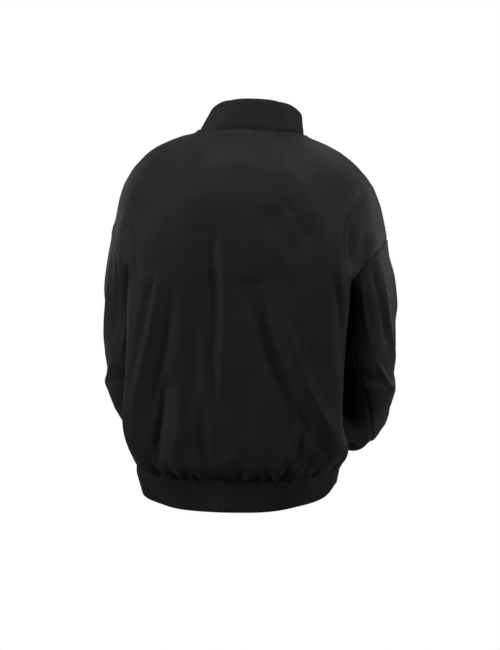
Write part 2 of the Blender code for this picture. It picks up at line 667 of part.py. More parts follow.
def build_zip(patches):
    for side in ("left", "right"):
        build_tape(patches, side)
    build_chain(patches)
    points, _ = centre_line(patches)
    length = float(np.sum(np.linalg.norm(np.diff(points, axis=0), axis=1)))
    block("zip_box", (-BOX_HALF_WIDTH, 2 * SEAM_GAP, -CHAIN_BACK - SLIDER_CLEAR),
          (BOX_HALF_WIDTH, BOX_LENGTH + SEAM_GAP, 0), frame_at(patches, length))
    hinge = build_slider(patches)
    build_pull(hinge)


def main():
    for thing in list(bpy.data.objects):
        bpy.data.objects.remove(thing, do_unlink=True)
    patches = build_cloth()
    build_zip(patches)


main()
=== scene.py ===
"""Looks of the bomber jacket: fine cloth, rib knit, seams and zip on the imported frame.

Metres, +Z up, in the part's own frame: the front faces -Y, the wearer's left is +X.
The section tables are the part's own, read here on a finer grid. Creases, gathers and
grooves then move that grid along its normals, and each piece becomes a thin shell.
"""
import json
from collections import namedtuple
from math import cos, pi, radians, sin

import bmesh
import bpy
import numpy as np
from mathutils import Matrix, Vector

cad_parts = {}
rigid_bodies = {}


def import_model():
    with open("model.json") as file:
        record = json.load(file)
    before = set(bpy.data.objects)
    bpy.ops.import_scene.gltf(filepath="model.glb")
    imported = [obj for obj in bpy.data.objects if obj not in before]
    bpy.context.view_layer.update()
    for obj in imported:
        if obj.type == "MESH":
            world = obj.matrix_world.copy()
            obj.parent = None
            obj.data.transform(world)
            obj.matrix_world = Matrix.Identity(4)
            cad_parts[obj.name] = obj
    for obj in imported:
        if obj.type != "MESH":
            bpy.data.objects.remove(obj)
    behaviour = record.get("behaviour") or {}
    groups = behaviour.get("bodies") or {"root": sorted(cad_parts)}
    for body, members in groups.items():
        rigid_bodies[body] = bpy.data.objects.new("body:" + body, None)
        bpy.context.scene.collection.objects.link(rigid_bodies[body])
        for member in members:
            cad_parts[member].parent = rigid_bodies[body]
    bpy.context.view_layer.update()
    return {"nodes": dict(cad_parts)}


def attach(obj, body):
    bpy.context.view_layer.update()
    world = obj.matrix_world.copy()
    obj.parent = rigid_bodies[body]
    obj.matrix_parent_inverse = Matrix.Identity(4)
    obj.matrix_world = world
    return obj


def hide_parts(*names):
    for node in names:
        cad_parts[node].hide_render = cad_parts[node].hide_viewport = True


def in_metres(kind, plain, rows):
    """A table's rows in metres. They are written in millimetres, but for the plain columns."""
    return tuple(kind(*(value if name in plain.split() else value / 1000
                        for name, value in zip(kind._fields, row))) for row in rows)


# ---- the part's sizes
SEAM_GAP = 0.0003
SAME_POINT = 1e-5  # seam points nearer than this are one
SHARP_BELOW, SHARP_FADE = 1.4, 0.7  # a fold is sharp if its two normals sum to less
FRONT_EDGE_X = 0.006  # each front ends this far from the centre line
UNDERARM = (0.158, 0.0, -0.290)
SHOULDER_TIP = (0.246, 0.0, -0.185)
ARMHOLE_REACH = 0.112  # half the armhole's width, front to back
NECK_SIDE = (0.092, -0.003, -0.010)

FINE = 8  # every facet of the part is split this many ways
SIDE_ROWS = 8 * FINE
ARMHOLE_ROWS = 12 * FINE
SHOULDER_ROWS = 6 * FINE
COLUMNS_FINE = 12  # and its columns more ways still, because the long folds run up and down
HALF_COLUMNS = 9 * COLUMNS_FINE
SLEEVE_ROWS = 13 * FINE
UNDER_SLEEVE = (9 * FINE, 15 * FINE)  # the under sleeve's columns, of 2 * ARMHOLE_ROWS
NEAR_EDGE = (0.25, 0.55)  # two more rows this far into the first row at a seam
SPLINE_END = 3.0  # a section's spline runs from 0 to here
TOP_STATION = 3.0  # the neck and shoulder end of the section tables

CLOTH_WALL = 0.0014
RIB_WALL = 0.0022

# One row for each cross-section of a half panel. "at" runs 0-1 up the side seam,
# 1-2 up the armhole and 2-3 up the shoulder seam. z and depth are at the centre
# line, blade_x is where the panel starts to curve, lobe_* is the fullness beside
# the arm, turn is how roundly it folds under, flank_* is the cloth below the arm.
Section = namedtuple(
    "Section", "at z depth blade_x lobe_x lobe_y lobe_z turn flank_x flank_y flank_z")

BACK_SECTIONS = in_metres(Section, "at", (
    (0.00, -614, 132, 85, 178, 122, -610, 50, 190, 35, -603),
    (0.10, -587, 150, 92, 194, 140, -584, 45, 180, 52, -580),
    (0.35, -505, 156, 100, 210, 148, -505, 34, 154, 78, -505),
    (0.70, -395, 156, 105, 209, 150, -395, 32, 141, 80, -395),
    (1.00, -290, 155, 105, 211, 150, -300, 34, 145, 80, -320),
    (1.25, -252, 154, 103, 208, 150, -266, 32, 157, 105, -296),
    (1.50, -215, 153, 100, 204, 149, -230, 30, 193, 132, -260),
    (2.00, -140, 145, 90, 180, 142, -156, 32, 232, 80, -150),
    (2.50, -64, 122, 70, 130, 117, -82, 30, 180, 62, -58),
    (3.00, 0, 66, 34, 78, 62, -2, 18, 95, 20, -6),
))
FRONT_SECTIONS = in_metres(Section, "at", (
    (0.00, -608, 126, 70, 154, 112, -606, 50, 178, 45, -603),
    (0.10, -584, 142, 70, 148, 124, -583, 45, 144, 58, -581),
    (0.35, -505, 147, 65, 142, 132, -505, 45, 141, 66, -505),
    (0.70, -395, 150, 75, 158, 140, -395, 45, 143, 75, -395),
    (1.00, -290, 148, 80, 170, 142, -300, 40, 146, 78, -320),
    (1.25, -258, 146, 80, 173, 142, -268, 36, 157, 102, -296),
    (1.50, -228, 142, 80, 176, 140, -238, 30, 193, 128, -258),
    (2.00, -172, 130, 70, 160, 128, -170, 32, 232, 80, -152),
    (2.50, -124, 112, 50, 114, 106, -108, 28, 178, 60, -62),
    (3.00, -84, 92, 30, 78, 84, -66, 22, 96, 32, -24),
))
HEM_END_BACK, HEM_END_FRONT, COLLAR_END_BACK, COLLAR_END_FRONT = in_metres(Section, "at", (
    (0, -673, 124, 80, 168, 110, -664, 50, 173, 35, -651),
    (0, -666, 120, 70, 148, 106, -661, 50, 169, 45, -652),
    (0, 52, 58, 28, 60, 55, 47, 16, 80, 22, 32),
    (0, -36, 83, 26, 68, 76, -22, 20, 84, 28, 10),
))
HEM_END_SIDE = (0.170, -0.005, -0.650)
COLLAR_END_SIDE = (0.081, -0.003, 0.026)

Place = namedtuple("Place", "at x y z")
SIDE_SEAM = (
    Place(0.00, 0.182, -0.005, -0.602),
    Place(0.10, 0.166, -0.003, -0.580),
    Place(0.35, 0.157, 0.000, -0.505),
    Place(0.70, 0.153, 0.000, -0.395),
    Place(0.97, 0.154, 0.000, -0.302),
    Place(1.00, *UNDERARM),
)
SHOULDER_SEAM = (
    Place(2.00, *SHOULDER_TIP),
    Place(2.20, 0.234, 0.000, -0.128),
    Place(2.40, 0.214, 0.000, -0.085),
    Place(2.60, 0.180, 0.000, -0.049),
    Place(2.80, 0.136, -0.001, -0.024),
    Place(3.00, *NECK_SIDE),
)

# One row for each ring of the sleeve below the armhole: its centre, its half sizes
# across and along the arm's swing, how far it pitches forward and how far the
# seams have turned round the arm.
Ring = namedtuple("Ring", "at x y z across deep pitch turn")
SLEEVE_RINGS = (
    Ring(0.24, 0.2125, 0.000, -0.312, 0.0510, 0.088, 2.0, 2.0),
    Ring(0.45, 0.2125, 0.000, -0.392, 0.0525, 0.084, 10.0, 22.0),
    Ring(0.65, 0.2135, -0.022, -0.464, 0.0510, 0.076, 34.0, 52.0),
    Ring(0.85, 0.2055, -0.082, -0.525, 0.0445, 0.060, 52.0, 70.0),
    Ring(0.95, 0.1990, -0.118, -0.549, 0.0410, 0.052, 56.0, 74.0),
    Ring(1.00, 0.1960, -0.132, -0.558, 0.0370, 0.041, 57.0, 75.0),
)
CUFF_END = Ring(2.0, 0.1850, -0.180, -0.589, 0.0350, 0.038, 57.0, 75.0)

# The part's largest folds: a straight run from "top" to "low" on the panel seen
# from behind, how far it sinks (+) or stands (-) and its half width.
Fold = namedtuple("Fold", "side top_x top_z low_x low_z sink half_width")
FOLDS = (
    Fold(+1, 0.160, -0.265, 0.212, -0.520, -0.005, 0.016),
    Fold(+1, -0.020, -0.270, -0.135, -0.585, 0.006, 0.018),
    Fold(+1, -0.055, -0.150, -0.095, -0.200, 0.004, 0.022),
    Fold(+1, 0.060, -0.180, 0.066, -0.560, 0.003, 0.020),
    Fold(-1, 0.110, -0.240, 0.060, -0.560, 0.006, 0.020),
    Fold(-1, -0.120, -0.220, -0.050, -0.420, 0.005, 0.018),
    Fold(-1, -0.070, -0.430, -0.120, -0.600, -0.005, 0.018),
)

# The pose: the back and hem lean to the wearer's left, the right shoulder is low.
Lean = namedtuple("Lean", "z shift")
BACK_LEAN = (Lean(-0.68, 0.030), Lean(-0.61, 0.028), Lean(-0.40, 0.015),
             Lean(-0.27, 0.009), Lean(-0.12, 0.002), Lean(0.06, 0.0))
LEAN_Y = (0.075, 0.125)  # where along Y the back's lean sets in
HEM_LEAN_Y = (-0.110, 0.100)  # and where it does at the hem
HEM_LEAN_Z = (-0.560, -0.625)
COLLAR_LEAN = 0.015  # the collar's edge leans to the wearer's right
COLLAR_LEAN_Z = (-0.045, 0.060)
FOLD_SETS_IN = (0.09, 0.12)  # where along Y the panels' folds set in
SHOULDER_ROLL = radians(2.5)
ROLL_FULL_Z, ROLL_ENDS_Z = -0.28, -0.52

# ---- creases
# A crease runs from "top" to "low" in its chart, bows sideways, rises (+) or sinks
# (-) and is "width" across each way, wider on one side by its skew. The charts of
# the back and front are x and z; a sleeve's are the turn round the arm in degrees
# from the shoulder line (90 at the back, 270 in front) and the share of its length.
Crease = namedtuple("Crease", "top_u top_v low_u low_v bow rise width skew", defaults=(0.0,))
SLEEVE_PLAIN = "top_u top_v low_u low_v skew"
CREASES = {
    "back": in_metres(Crease, "skew", (
        # the long ones
        (142, -235, 198, -500, 4, 5.2, 7.5, 0.3), (120, -270, 168, -520, 6, -4, 12, 0.2),
        (-30, -262, -150, -580, -12, -5.6, 8.5, -0.30), (-58, -272, -172, -560, -10, 4.6, 10, 0.2),
        (-6, -290, -94, -520, -8, 2.6, 12), (-66, -118, -116, -202, 6, -3, 12, 0.3),
        (146, -95, 176, -175, 3, 2, 8), (48, -170, 52, -470, 3, -4, 9, 0.3),
        (34, -160, 38, -500, 3, 3.6, 5.5), (132, -430, 146, -590, -4, -6, 9, 0.2),
        (112, -440, 116, -590, 3, 3.6, 8), (-152, -250, -178, -430, 6, -3, 10),
        (-126, -20, -172, -36, 2, 1.8, 6), (72, -470, 64, -600, 3, -3.4, 8.5),
        (-12, -400, -4, -560, 3, -2.2, 10), (84, -320, 96, -500, 4, -2.2, 10),
        (-100, -500, -80, -600, -4, 3.4, 8),
        # the panel folds over beside the right sleeve, and a little by the left one
        (-192, -96, -167, -282, -11, 3.4, 5.5), (-206, -104, -182, -240, -8, -4.4, 9.5),
        (-214, -180, -190, -244, 2, -2.8, 6), (-226, -176, -206, -232, 2, 2, 6),
        (205, -150, 196, -300, 6, -3.4, 9),
        # short ones across the shoulders and above the rib
        (90, -60, 148, -92, -4, 1.8, 8), (-140, -330, -100, -390, 3, 1.6, 8),
        (0, -520, 30, -590, 3, 2.4, 7),
    )),
    "front": in_metres(Crease, "skew", (
        # similar ones, from the armholes and up from the rib
        (150, -235, 96, -420, 10, -4.6, 11, 0.3), (128, -215, 70, -360, 8, 2.6, 11),
        (118, -330, 130, -560, -6, 3.6, 11, -0.2), (60, -380, 78, -590, -5, -3.6, 10, 0.2),
        (36, -180, 30, -400, 3, -1.6, 12), (40, -470, 34, -600, 2, 2.4, 9),
        (90, -90, 150, -150, -4, 1.8, 12), (-156, -250, -88, -390, -10, -5, 11, -0.3),
        (-134, -205, -84, -330, -6, 2.4, 12), (-110, -370, -138, -570, 6, 3.2, 12, 0.2),
        (-82, -420, -66, -600, 4, -3.8, 10), (-30, -240, -42, -470, -4, -1.6, 11),
        (-34, -520, -30, -604, 2, 2, 8), (-80, -70, -140, -120, 4, 1.6, 12),
    )),
    "sleeve_left": in_metres(Crease, SLEEVE_PLAIN, (
        # down from the armhole, then across the bend of the elbow
        (60, 0.02, 72, 0.42, 4, -3, 9, 0.2), (40, 0.06, 48, 0.50, -3, 2.4, 10),
        (96, 0.10, 100, 0.46, 4, 2, 9), (18, 0.22, 24, 0.62, 3, -1.6, 11),
        (330, 0.05, 322, 0.45, -3, -2.6, 10), (300, 0.12, 296, 0.44, 3, 2.4, 10, 0.2),
        (262, 0.50, 334, 0.58, 6, -4.6, 9, 0.3), (258, 0.58, 340, 0.66, 4, 3, 9),
        (266, 0.66, 330, 0.72, 4, -4, 8, 0.2), (20, 0.66, 74, 0.78, -4, -2.4, 9),
        (40, 0.76, 110, 0.84, -4, 2.2, 9), (250, 0.44, 318, 0.52, 8, -3.6, 8, 0.2),
        (276, 0.73, 340, 0.80, -4, 3, 8), (350, 0.34, 30, 0.58, 4, -2.6, 9),
        (84, 0.48, 60, 0.70, -4, 2.8, 9, 0.2), (8, 0.03, 2, 0.30, 3, 2.2, 9),
    )),
    "sleeve_right": in_metres(Crease, SLEEVE_PLAIN, (
        (66, 0.02, 58, 0.40, -4, -3.4, 9, -0.2), (252, 0.45, 322, 0.50, 6, -3.4, 8),
        (280, 0.72, 346, 0.78, -3, 3, 8, 0.2), (356, 0.30, 28, 0.60, -4, -3, 9),
        (90, 0.44, 62, 0.66, 4, 3, 8.5), (14, 0.05, 6, 0.28, -3, 2.4, 9),
        (44, 0.08, 40, 0.52, 3, 2.6, 10), (88, 0.06, 96, 0.38, 3, 2.2, 8),
        (28, 0.30, 30, 0.66, -3, -2.4, 11), (326, 0.04, 330, 0.42, 3, -2.4, 10),
        (302, 0.14, 306, 0.48, -3, 2.2, 10), (264, 0.49, 338, 0.56, 5, -4.4, 9, 0.2),
        (262, 0.57, 330, 0.64, 4, 2.8, 9), (268, 0.64, 336, 0.71, 4, -4.2, 8),
        (24, 0.70, 84, 0.80, -4, -2.6, 9), (52, 0.80, 118, 0.86, -4, 2.4, 9),
    )),
}
CREASE_GAIN = 1.5  # how strongly the table is applied
CREASE_SHARP = 1.5  # 2 would be a soft round fold, 1 a hard line
SLEEVE_ROUND = 0.075  # metres round the sleeve to each radian in its chart
SLEEVE_LONG = 0.43  # and along it to the whole share

# Short pleats where cloth is gathered into a rib: how far along the seam from its
# start, how high they reach, how deep they sink, their half width and their lean.
Gather = namedtuple("Gather", "along reach sink width lean")
BACK_GATHERS = in_metres(Gather, "lean", (
    (45, 20, 2.2, 4, 0.10), (88, 34, 3.4, 5.5, -0.10), (126, 22, 2.8, 4.2, 0.20),
    (172, 18, 3, 4, -0.25), (186, 70, 4.6, 6.2, -0.12), (204, 26, 3.4, 4.5, 0.30),
    (226, 20, 2.6, 4, 0.10), (262, 30, 3.6, 4.8, -0.30), (276, 18, 3, 3.6, 0.25),
    (293, 16, 2.4, 3.6, 0.0), (334, 20, 2.8, 4.2, 0.15), (352, 24, 3.4, 4.5, -0.25),
    (368, 18, 3, 3.8, 0.20), (398, 50, 3.6, 5.6, 0.05), (422, 22, 3, 4.2, 0.35),
    (438, 18, 3.2, 4, -0.20), (470, 28, 3, 4.8, 0.15), (512, 20, 2.6, 4.5, -0.10),
))
FRONT_GATHERS = in_metres(Gather, "lean", (
    (22, 20, 2.2, 4, 0.10), (46, 36, 3.2, 5, -0.15), (62, 18, 2.6, 3.8, 0.25),
    (91, 46, 3.6, 5.6, 0.10),
    (110, 20, 2.8, 4.2, -0.20), (139, 28, 3, 4.8, 0.20), (158, 18, 2.4, 4, -0.10),
    (186, 22, 2.6, 4.4, 0.10),
))
CUFF_GATHERS = in_metres(Gather, "lean", (
    (12, 30, 2.6, 4, 0.15), (34, 44, 3.2, 4.8, -0.15), (52, 22, 2.4, 3.8, 0.25),
    (78, 50, 3.4, 5, 0.05),
    (97, 26, 2.6, 4, -0.25), (124, 38, 3, 4.6, 0.20), (143, 20, 2.2, 3.8, 0.0),
    (168, 34, 3, 4.4, -0.10),
))

CREASE_WIDTH_TOP, CREASE_WIDENS = 0.75, 0.5  # shares of its width: at the top, added by its foot
CREASE_BEGINS, CREASE_ENDS = (-0.10, 0.28), (0.72, 1.10)  # shares of its length
CREASE_WARP_SIZE, CREASE_WARP = 0.055, 0.0045
FACING = (-0.05, 0.35)  # creases set in as a panel turns to face straight back or front
# The cloth's swells: rise, size in X, Y and Z, and seed.
SWELLS = ((0.0011, (0.050, 0.050, 0.120), 1), (0.00055, (0.020, 0.020, 0.046), 2),
          (0.00012, (0.008, 0.008, 0.013), 3))
WRINKLE_RISE, WRINKLE_SHARP, WRINKLE_SIZE = 0.0011, 4, (0.034, 0.034, 0.075)
WARP_SEEDS, WRINKLE_SEED, PUCKER_SEED, PATCH_SEED, RIB_SEED = (11, 12), 4, 5, 6, 7
PATCH_SIZE, PATCH_STEP = 0.09, (-0.3, 0.5)  # wrinkles come in patches
HASH = (374761393, 668265263, 2246822519, 3266489917)
HASH_MIX, HASH_MASK, HASH_HALF = 1274126177, 0xFFFFFFFF, 32767.5

GATHER_GAIN = 2.0
GATHER_FADE, GATHER_WIDENS = 1.6, 0.7
GATHER_BANK, GATHER_BANK_AT = 0.45, 1.9  # the cloth is banked up beside each pleat
GATHER_AT_SEAM, GATHER_FULL = 0.35, 0.005  # a pleat is shallow at the seam itself
GROOVE_DEPTH, GROOVE_WIDTH = 0.0023, 0.0020
SEAM_KEEPS, SEAM_REACH = 0.003, 0.022  # folds all but end at a seam
NECK_BAND, NECK_BAND_EDGE = 0.0011, (0.0020, 0.0085)
SWELL_HEIGHT, SWELL_AT = 0.0005, 0.0070  # the seam's allowance lifts the cloth
PUCKER_DEPTH, PUCKER_REACH = 0.00035, 0.016
PUCKER_LENGTH = 0.011

RIB_PITCH = 0.0032
RIB_DEPTH = 0.00042
RIB_SAMPLES = 6  # columns to each rib
RIB_STEPS = 12  # rows of a rib piece
RIB_TUCK = 0.005  # the rib runs on this far under the cloth
TUCK_DEPTH, TUCK_ENDS = 0.0022, (0.003, 0.009)
RIDGE_SHARP = 0.7
RIB_UNEVEN, RIB_UNEVEN_SIZE = 0.0006, (0.03, 0.03, 0.05)
RIM_ROUND = 0.42  # how far a shell's rim stands out, as a share of its thickness

STITCH_LENGTH, STITCH_PITCH = 0.0026, 0.0034
STITCH_HALF_WIDTH, STITCH_HEIGHT = 0.00028, 0.00030
STITCH_SWELL = ((0.0, 0.35), (0.25, 1.0), (0.75, 1.0), (1.0, 0.35))  # shares of length, of size
STITCH_TOP = 0.7  # its top is this much narrower than its foot
NECK_STITCH, ZIP_STITCH = 0.0065, 0.0075  # how far in from the seam or edge

# ---- the zip
TAPE_EDGE_X = (0.0001, 0.0165)  # the teeth are clamped on the tapes' inner edges
TAPE_COLUMNS = 8
TAPE_DEPTH = 0.0028
TAPE_WALL = 0.0007
ZIP_TOP_DROP = 0.006
TAPE_FOOT = 0.0004  # the tapes end level with the box's foot
BOX_LENGTH = 0.010
METAL_ROUND, METAL_ROUND_STEPS = 0.00035, 3
FLAT_WITHIN, SHARP_ABOVE = radians(1), radians(40)
SLIDER_LENGTH = 0.0115
SLIDER_DROP = 0.0140
TOOTH_PITCH = 0.0030
TOOTH_LENGTH = 0.0016
TOOTH_REACH = (-0.0006, 0.0030)  # across the centre line, from its own side
TOOTH_FACE, TOOTH_BACK = 0.0007, 0.0033
TOOTH_SWELL = (0.75, 1.0, 0.62, 1.0)

# ---- camera and light
AIM = Vector((0.0, 0.0, -0.355))
CAMERA_AZIMUTH, CAMERA_ELEVATION = radians(185), radians(8)
CAMERA_DISTANCE = 2.8
CAMERA_LENS = 85.3  # on a 36 mm sensor along the picture's longer side
FLOOR_Z, FLOOR_HALF, FLOOR_SHADE = -1.45, 30.0, 0.20
FLOOR_ROUGHNESS = 0.9
ROOM_LIGHT, ROOM_COLOUR = 0.08, (0.95, 0.97, 1.0, 1)
# One row for each soft light: where it hangs from the aim, its size and power.
Light = namedtuple("Light", "name place size power")
LIGHTS = (
    Light("above_back", (0.4, 1.3, 2.7), (1.6, 1.0), 58),
    Light("left_back", (2.5, 1.4, 0.6), (0.5, 1.5), 38),
    Light("right_back", (-2.9, 0.6, 1.0), (0.5, 1.4), 51),
    Light("above_front", (-0.4, -1.5, 2.6), (1.6, 1.0), 34),
    Light("left_front", (2.2, -1.8, 0.5), (0.6, 1.6), 10),
    Light("right_front", (-2.2, -1.9, 0.5), (0.6, 1.6), 14),
)


# ---- curves
def read_column(table, column, at):
    """A table's column at the stations `at`, as a curve without overshoot."""
    x = np.array([row.at if hasattr(row, "at") else row.z for row in table], float)
    y = np.array([getattr(row, column) for row in table], float)
    return read_curve(x, y, at)


def read_curve(x, y, at):
    """The same for several columns at once, when y has a row for each x."""
    shape = (-1,) + (1,) * (y.ndim - 1)
    at = np.clip(np.asarray(at, float), x[0], x[-1])
    step = np.diff(x).reshape(shape)
    slope = np.diff(y, axis=0) / step
    bend = np.zeros_like(y)
    bend[0], bend[-1] = slope[0], slope[-1]
    same = slope[:-1] * slope[1:] > 0
    first, second = step[:-1] + 2 * step[1:], 2 * step[:-1] + step[1:]
    safe = np.where(same, slope[:-1] * slope[1:], 1.0)
    mean = (first + second) * safe / (first * slope[1:] + second * slope[:-1] + 1e-30)
    bend[1:-1] = np.where(same, mean, 0.0)
    i = np.clip(np.searchsorted(x, at, side="right") - 1, 0, len(x) - 2)
    grown = at.shape + (1,) * (y.ndim - 1)
    width = np.diff(x)[i].reshape(grown)
    t = ((at - x[i]) / np.diff(x)[i]).reshape(grown)
    return (y[i] * (1 + 2 * t) * (1 - t) ** 2 + bend[i] * width * t * (1 - t) ** 2
            + y[i + 1] * t * t * (3 - 2 * t) + bend[i + 1] * width * t * t * (t - 1))


def read_place(table, at):
    return np.stack([read_column(table, axis, at) for axis in "xyz"], axis=-1)


def smooth_step(low, high, value):
    t = np.clip((value - low) / (high - low), 0.0, 1.0)
    return t * t * (3 - 2 * t)


def spline_weights(values):
    """The share of each of six controls at places along their clamped cubic B-spline."""
    knots = np.array([0, 0, 0, 0, 1, 2, 3, 3, 3, 3], float)
    rows = []
    for value in values:
        k = min(int(value), 2) + 3
        d = [np.eye(6)[j + k - 3] for j in range(4)]
        for level in range(1, 4):
            for j in range(3, level - 1, -1):
                left = knots[j + k - 3]
                share = (value - left) / (knots[j + 1 + k - level] - left)
                d[j] = d[j - 1] * (1 - share) + d[j] * share
        rows.append(d[3])
    return np.array(rows)


def sections_between(table, at, centre_x, side, edge, along):
    """Half rows from the centre to `edge`; side is +1 at the back, -1 in front."""
    s = {name: read_column(table, name, at) for name in Section._fields[1:]}
    controls = np.stack([
        np.stack((np.full_like(s["z"], centre_x), side * s["depth"], s["z"]), axis=-1),
        np.stack((s["blade_x"], side * s["depth"], s["z"]), axis=-1),
        np.stack((s["lobe_x"] - s["turn"], side * s["lobe_y"], s["lobe_z"]), axis=-1),
        np.stack((s["lobe_x"], side * (s["lobe_y"] - s["turn"]), s["lobe_z"]), axis=-1),
        np.stack((s["flank_x"], side * s["flank_y"], s["flank_z"]), axis=-1),
        edge])
    return np.einsum("ck,krx->rcx", spline_weights(along), controls)


def armhole(angle):
    """The armhole seam: angle 0 at the shoulder's tip, pi/2 at the back, pi underneath."""
    low, top = np.array(UNDERARM), np.array(SHOULDER_TIP)
    middle, rise = (low + top) / 2, (top - low) / 2
    angle = np.asarray(angle, float)[..., None]
    return middle + rise * np.cos(angle) + np.array((0, ARMHOLE_REACH, 0)) * np.sin(angle)


def panel_edge(at, side):
    """Where a half panel ends at each station: side seam, armhole, shoulder seam."""
    at = np.asarray(at, float)
    hole = armhole(pi * (1 - np.clip(at - 1, 0, 1)))
    hole[..., 1] *= side
    edge = np.where((at <= 1)[..., None], read_place(SIDE_SEAM, at), hole)
    return np.where((at >= 2)[..., None], read_place(SHOULDER_SEAM, at), edge)


def with_near_rows(values, start=True, end=True):
    """The same stations, with two more close to the first and the last."""
    values = np.asarray(values, float)
    first, last = values[1] - values[0], values[-1] - values[-2]
    parts = [values[:1]]
    if start:
        parts.append(values[0] + first * np.array(NEAR_EDGE))
    parts.append(values[1:-1])
    if end:
        parts.append(values[-1] - last * np.array(NEAR_EDGE[::-1]))
    return np.concatenate(parts + [values[-1:]])


def panel_stations():
    side = np.linspace(0, 1, SIDE_ROWS + 1)
    hole = np.linspace(1, 2, ARMHOLE_ROWS + 1)
    shoulder = np.linspace(2, 3, SHOULDER_ROWS + 1)
    return with_near_rows(np.concatenate((side[:-1], hole[:-1], shoulder)))


def half_columns():
    return np.linspace(0, SPLINE_END, HALF_COLUMNS + 1)


def half_panel(table, centre_x, side):
    """A half panel's grid of points, rows upward and columns from centre to edge."""
    at = panel_stations()
    along = with_near_rows(half_columns(), start=centre_x > 0)
    return sections_between(table, at, centre_x, side, panel_edge(at, side), along)


def mirrored(grid):
    return grid * np.array((-1, 1, 1))


def sleeve_ring(ring, angles):
    """One ring of the sleeve, its plane pitched forward about X."""
    turned = angles - radians(ring.turn)
    pitch = radians(ring.pitch)
    across = np.array((1.0, 0, 0))
    deep = np.array((0, cos(pitch), -sin(pitch)))
    centre = np.array((ring.x, ring.y, ring.z))
    return (centre + ring.across * np.cos(turned)[:, None] * across
            + ring.deep * np.sin(turned)[:, None] * deep)


def sleeve_angles(first, last):
    """The columns of one sleeve piece, as turns from the shoulder's tip."""
    step = pi / ARMHOLE_ROWS
    return with_near_rows(np.arange(first, last + 1) * step)


def sleeve_grid(angles):
    """Rows down the arm from the armhole to the cuff, columns round it."""
    at = with_near_rows(np.linspace(0, 1, SLEEVE_ROWS + 1))
    stations = np.array([0.0] + [ring.at for ring in SLEEVE_RINGS])
    known = np.array([armhole(angles)] + [sleeve_ring(ring, angles) for ring in SLEEVE_RINGS])
    return read_curve(stations, known, at), at


# ---- the pose
def settled(points):
    """The worn pose: the lean of back and hem, then the roll of the shoulders."""
    p = np.array(points, float)
    x, y, z = p[..., 0], p[..., 1], p[..., 2]
    at_hem = smooth_step(*HEM_LEAN_Z, z)
    reach = smooth_step(*LEAN_Y, y) * (1 - at_hem) + smooth_step(*HEM_LEAN_Y, y) * at_hem
    x = x + read_column(BACK_LEAN, "shift", z) * reach
    x = x - COLLAR_LEAN * smooth_step(*COLLAR_LEAN_Z, z)
    roll = SHOULDER_ROLL * (1 - smooth_step(ROLL_FULL_Z, ROLL_ENDS_Z, z))
    return np.stack((x * np.cos(roll), y, z * np.cos(roll) + x * np.sin(roll)), axis=-1)


def folded(points):
    """Sink or raise the panels along Y by the table of folds."""
    p = np.array(points, float)
    for fold in FOLDS:
        top, low = np.array((fold.top_x, fold.top_z)), np.array((fold.low_x, fold.low_z))
        run = low - top
        flat = p[..., (0, 2)] - top
        along = np.clip(flat @ run / (run @ run), 0, 1)
        off = np.linalg.norm(flat - along[..., None] * run, axis=-1)
        depth = fold.sink * np.exp(-(off / fold.half_width) ** 2)
        depth *= smooth_step(*FOLD_SETS_IN, fold.side * p[..., 1])
        p[..., 1] -= fold.side * depth
    return p


def posed(grid):
    return settled(folded(grid))


# ---- grids and normals
def unit(vectors):
    return vectors / (np.linalg.norm(vectors, axis=-1, keepdims=True) + 1e-12)


def dot(first, second):
    return np.sum(first * second, axis=-1, keepdims=True)


def grid_normals(grid, wraps=False):
    """Vertex normals of one grid, out of the jacket."""
    across = np.gradient(grid, axis=1)
    if wraps:
        across = (np.roll(grid, -1, axis=1) - np.roll(grid, 1, axis=1)) / 2
    return unit(np.cross(np.gradient(grid, axis=0), across))


def borders(wraps):
    """Each border of a grid: an index for its points and one for those just inside."""
    everything = slice(None)
    runs = [((0, everything), (1, everything)), ((-1, everything), (-2, everything))]
    if not wraps:
        runs += [((everything, 0), (everything, 1)), ((everything, -1), (everything, -2))]
    return runs


def point_key(point):
    return tuple(np.round(point / SAME_POINT).astype(int))


def share_normals(grids, normals):
    """Give every seam point the one normal of all the pieces that meet there."""
    out, inward = {}, {}
    for name, grid in grids.items():
        for edge, inner in borders(False):
            along = unit(np.gradient(grid[edge], axis=0))
            inside = grid[inner] - grid[edge]
            inside = unit(inside - along * dot(inside, along))
            for point, normal, way in zip(grid[edge], normals[name][edge], inside):
                key = point_key(point)
                out.setdefault(key, {}).setdefault(name, normal)
                inward.setdefault(key, {}).setdefault(name, way)
    for name, grid in grids.items():
        for edge, _ in borders(False):
            shared = []
            for point in grid[edge]:
                key = point_key(point)
                faces, ways = list(out[key].values()), list(inward[key].values())
                total = sum(faces)
                sharp = float(np.clip((SHARP_BELOW - np.linalg.norm(total)) / SHARP_FADE, 0, 1))
                if len(faces) > 1 and sharp > 0:
                    hollow = np.dot(faces[0], ways[1]) + np.dot(faces[1], ways[0])
                    total = total + sharp * np.sign(hollow) * sum(ways)
                shared.append(unit(total))
            normals[name][edge] = np.array(shared)


def run_length(points, axis):
    """How far along its own line each point of a grid is, along one axis."""
    steps = np.linalg.norm(np.diff(points, axis=axis), axis=-1)
    pad = [(0, 0)] * steps.ndim
    pad[axis] = (1, 0)
    return np.pad(np.cumsum(steps, axis=axis), pad)


def read_line(points, run, at):
    """The places at given lengths `at` along a line whose points have run so far."""
    return np.stack([np.interp(at, run, points[:, a]) for a in range(3)], axis=-1)


def from_edges(grid):
    """How far each point is from the first row, last row, first and last column."""
    down, across = run_length(grid, 0), run_length(grid, 1)
    return down, down[-1:] - down, across, across[:, -1:] - across


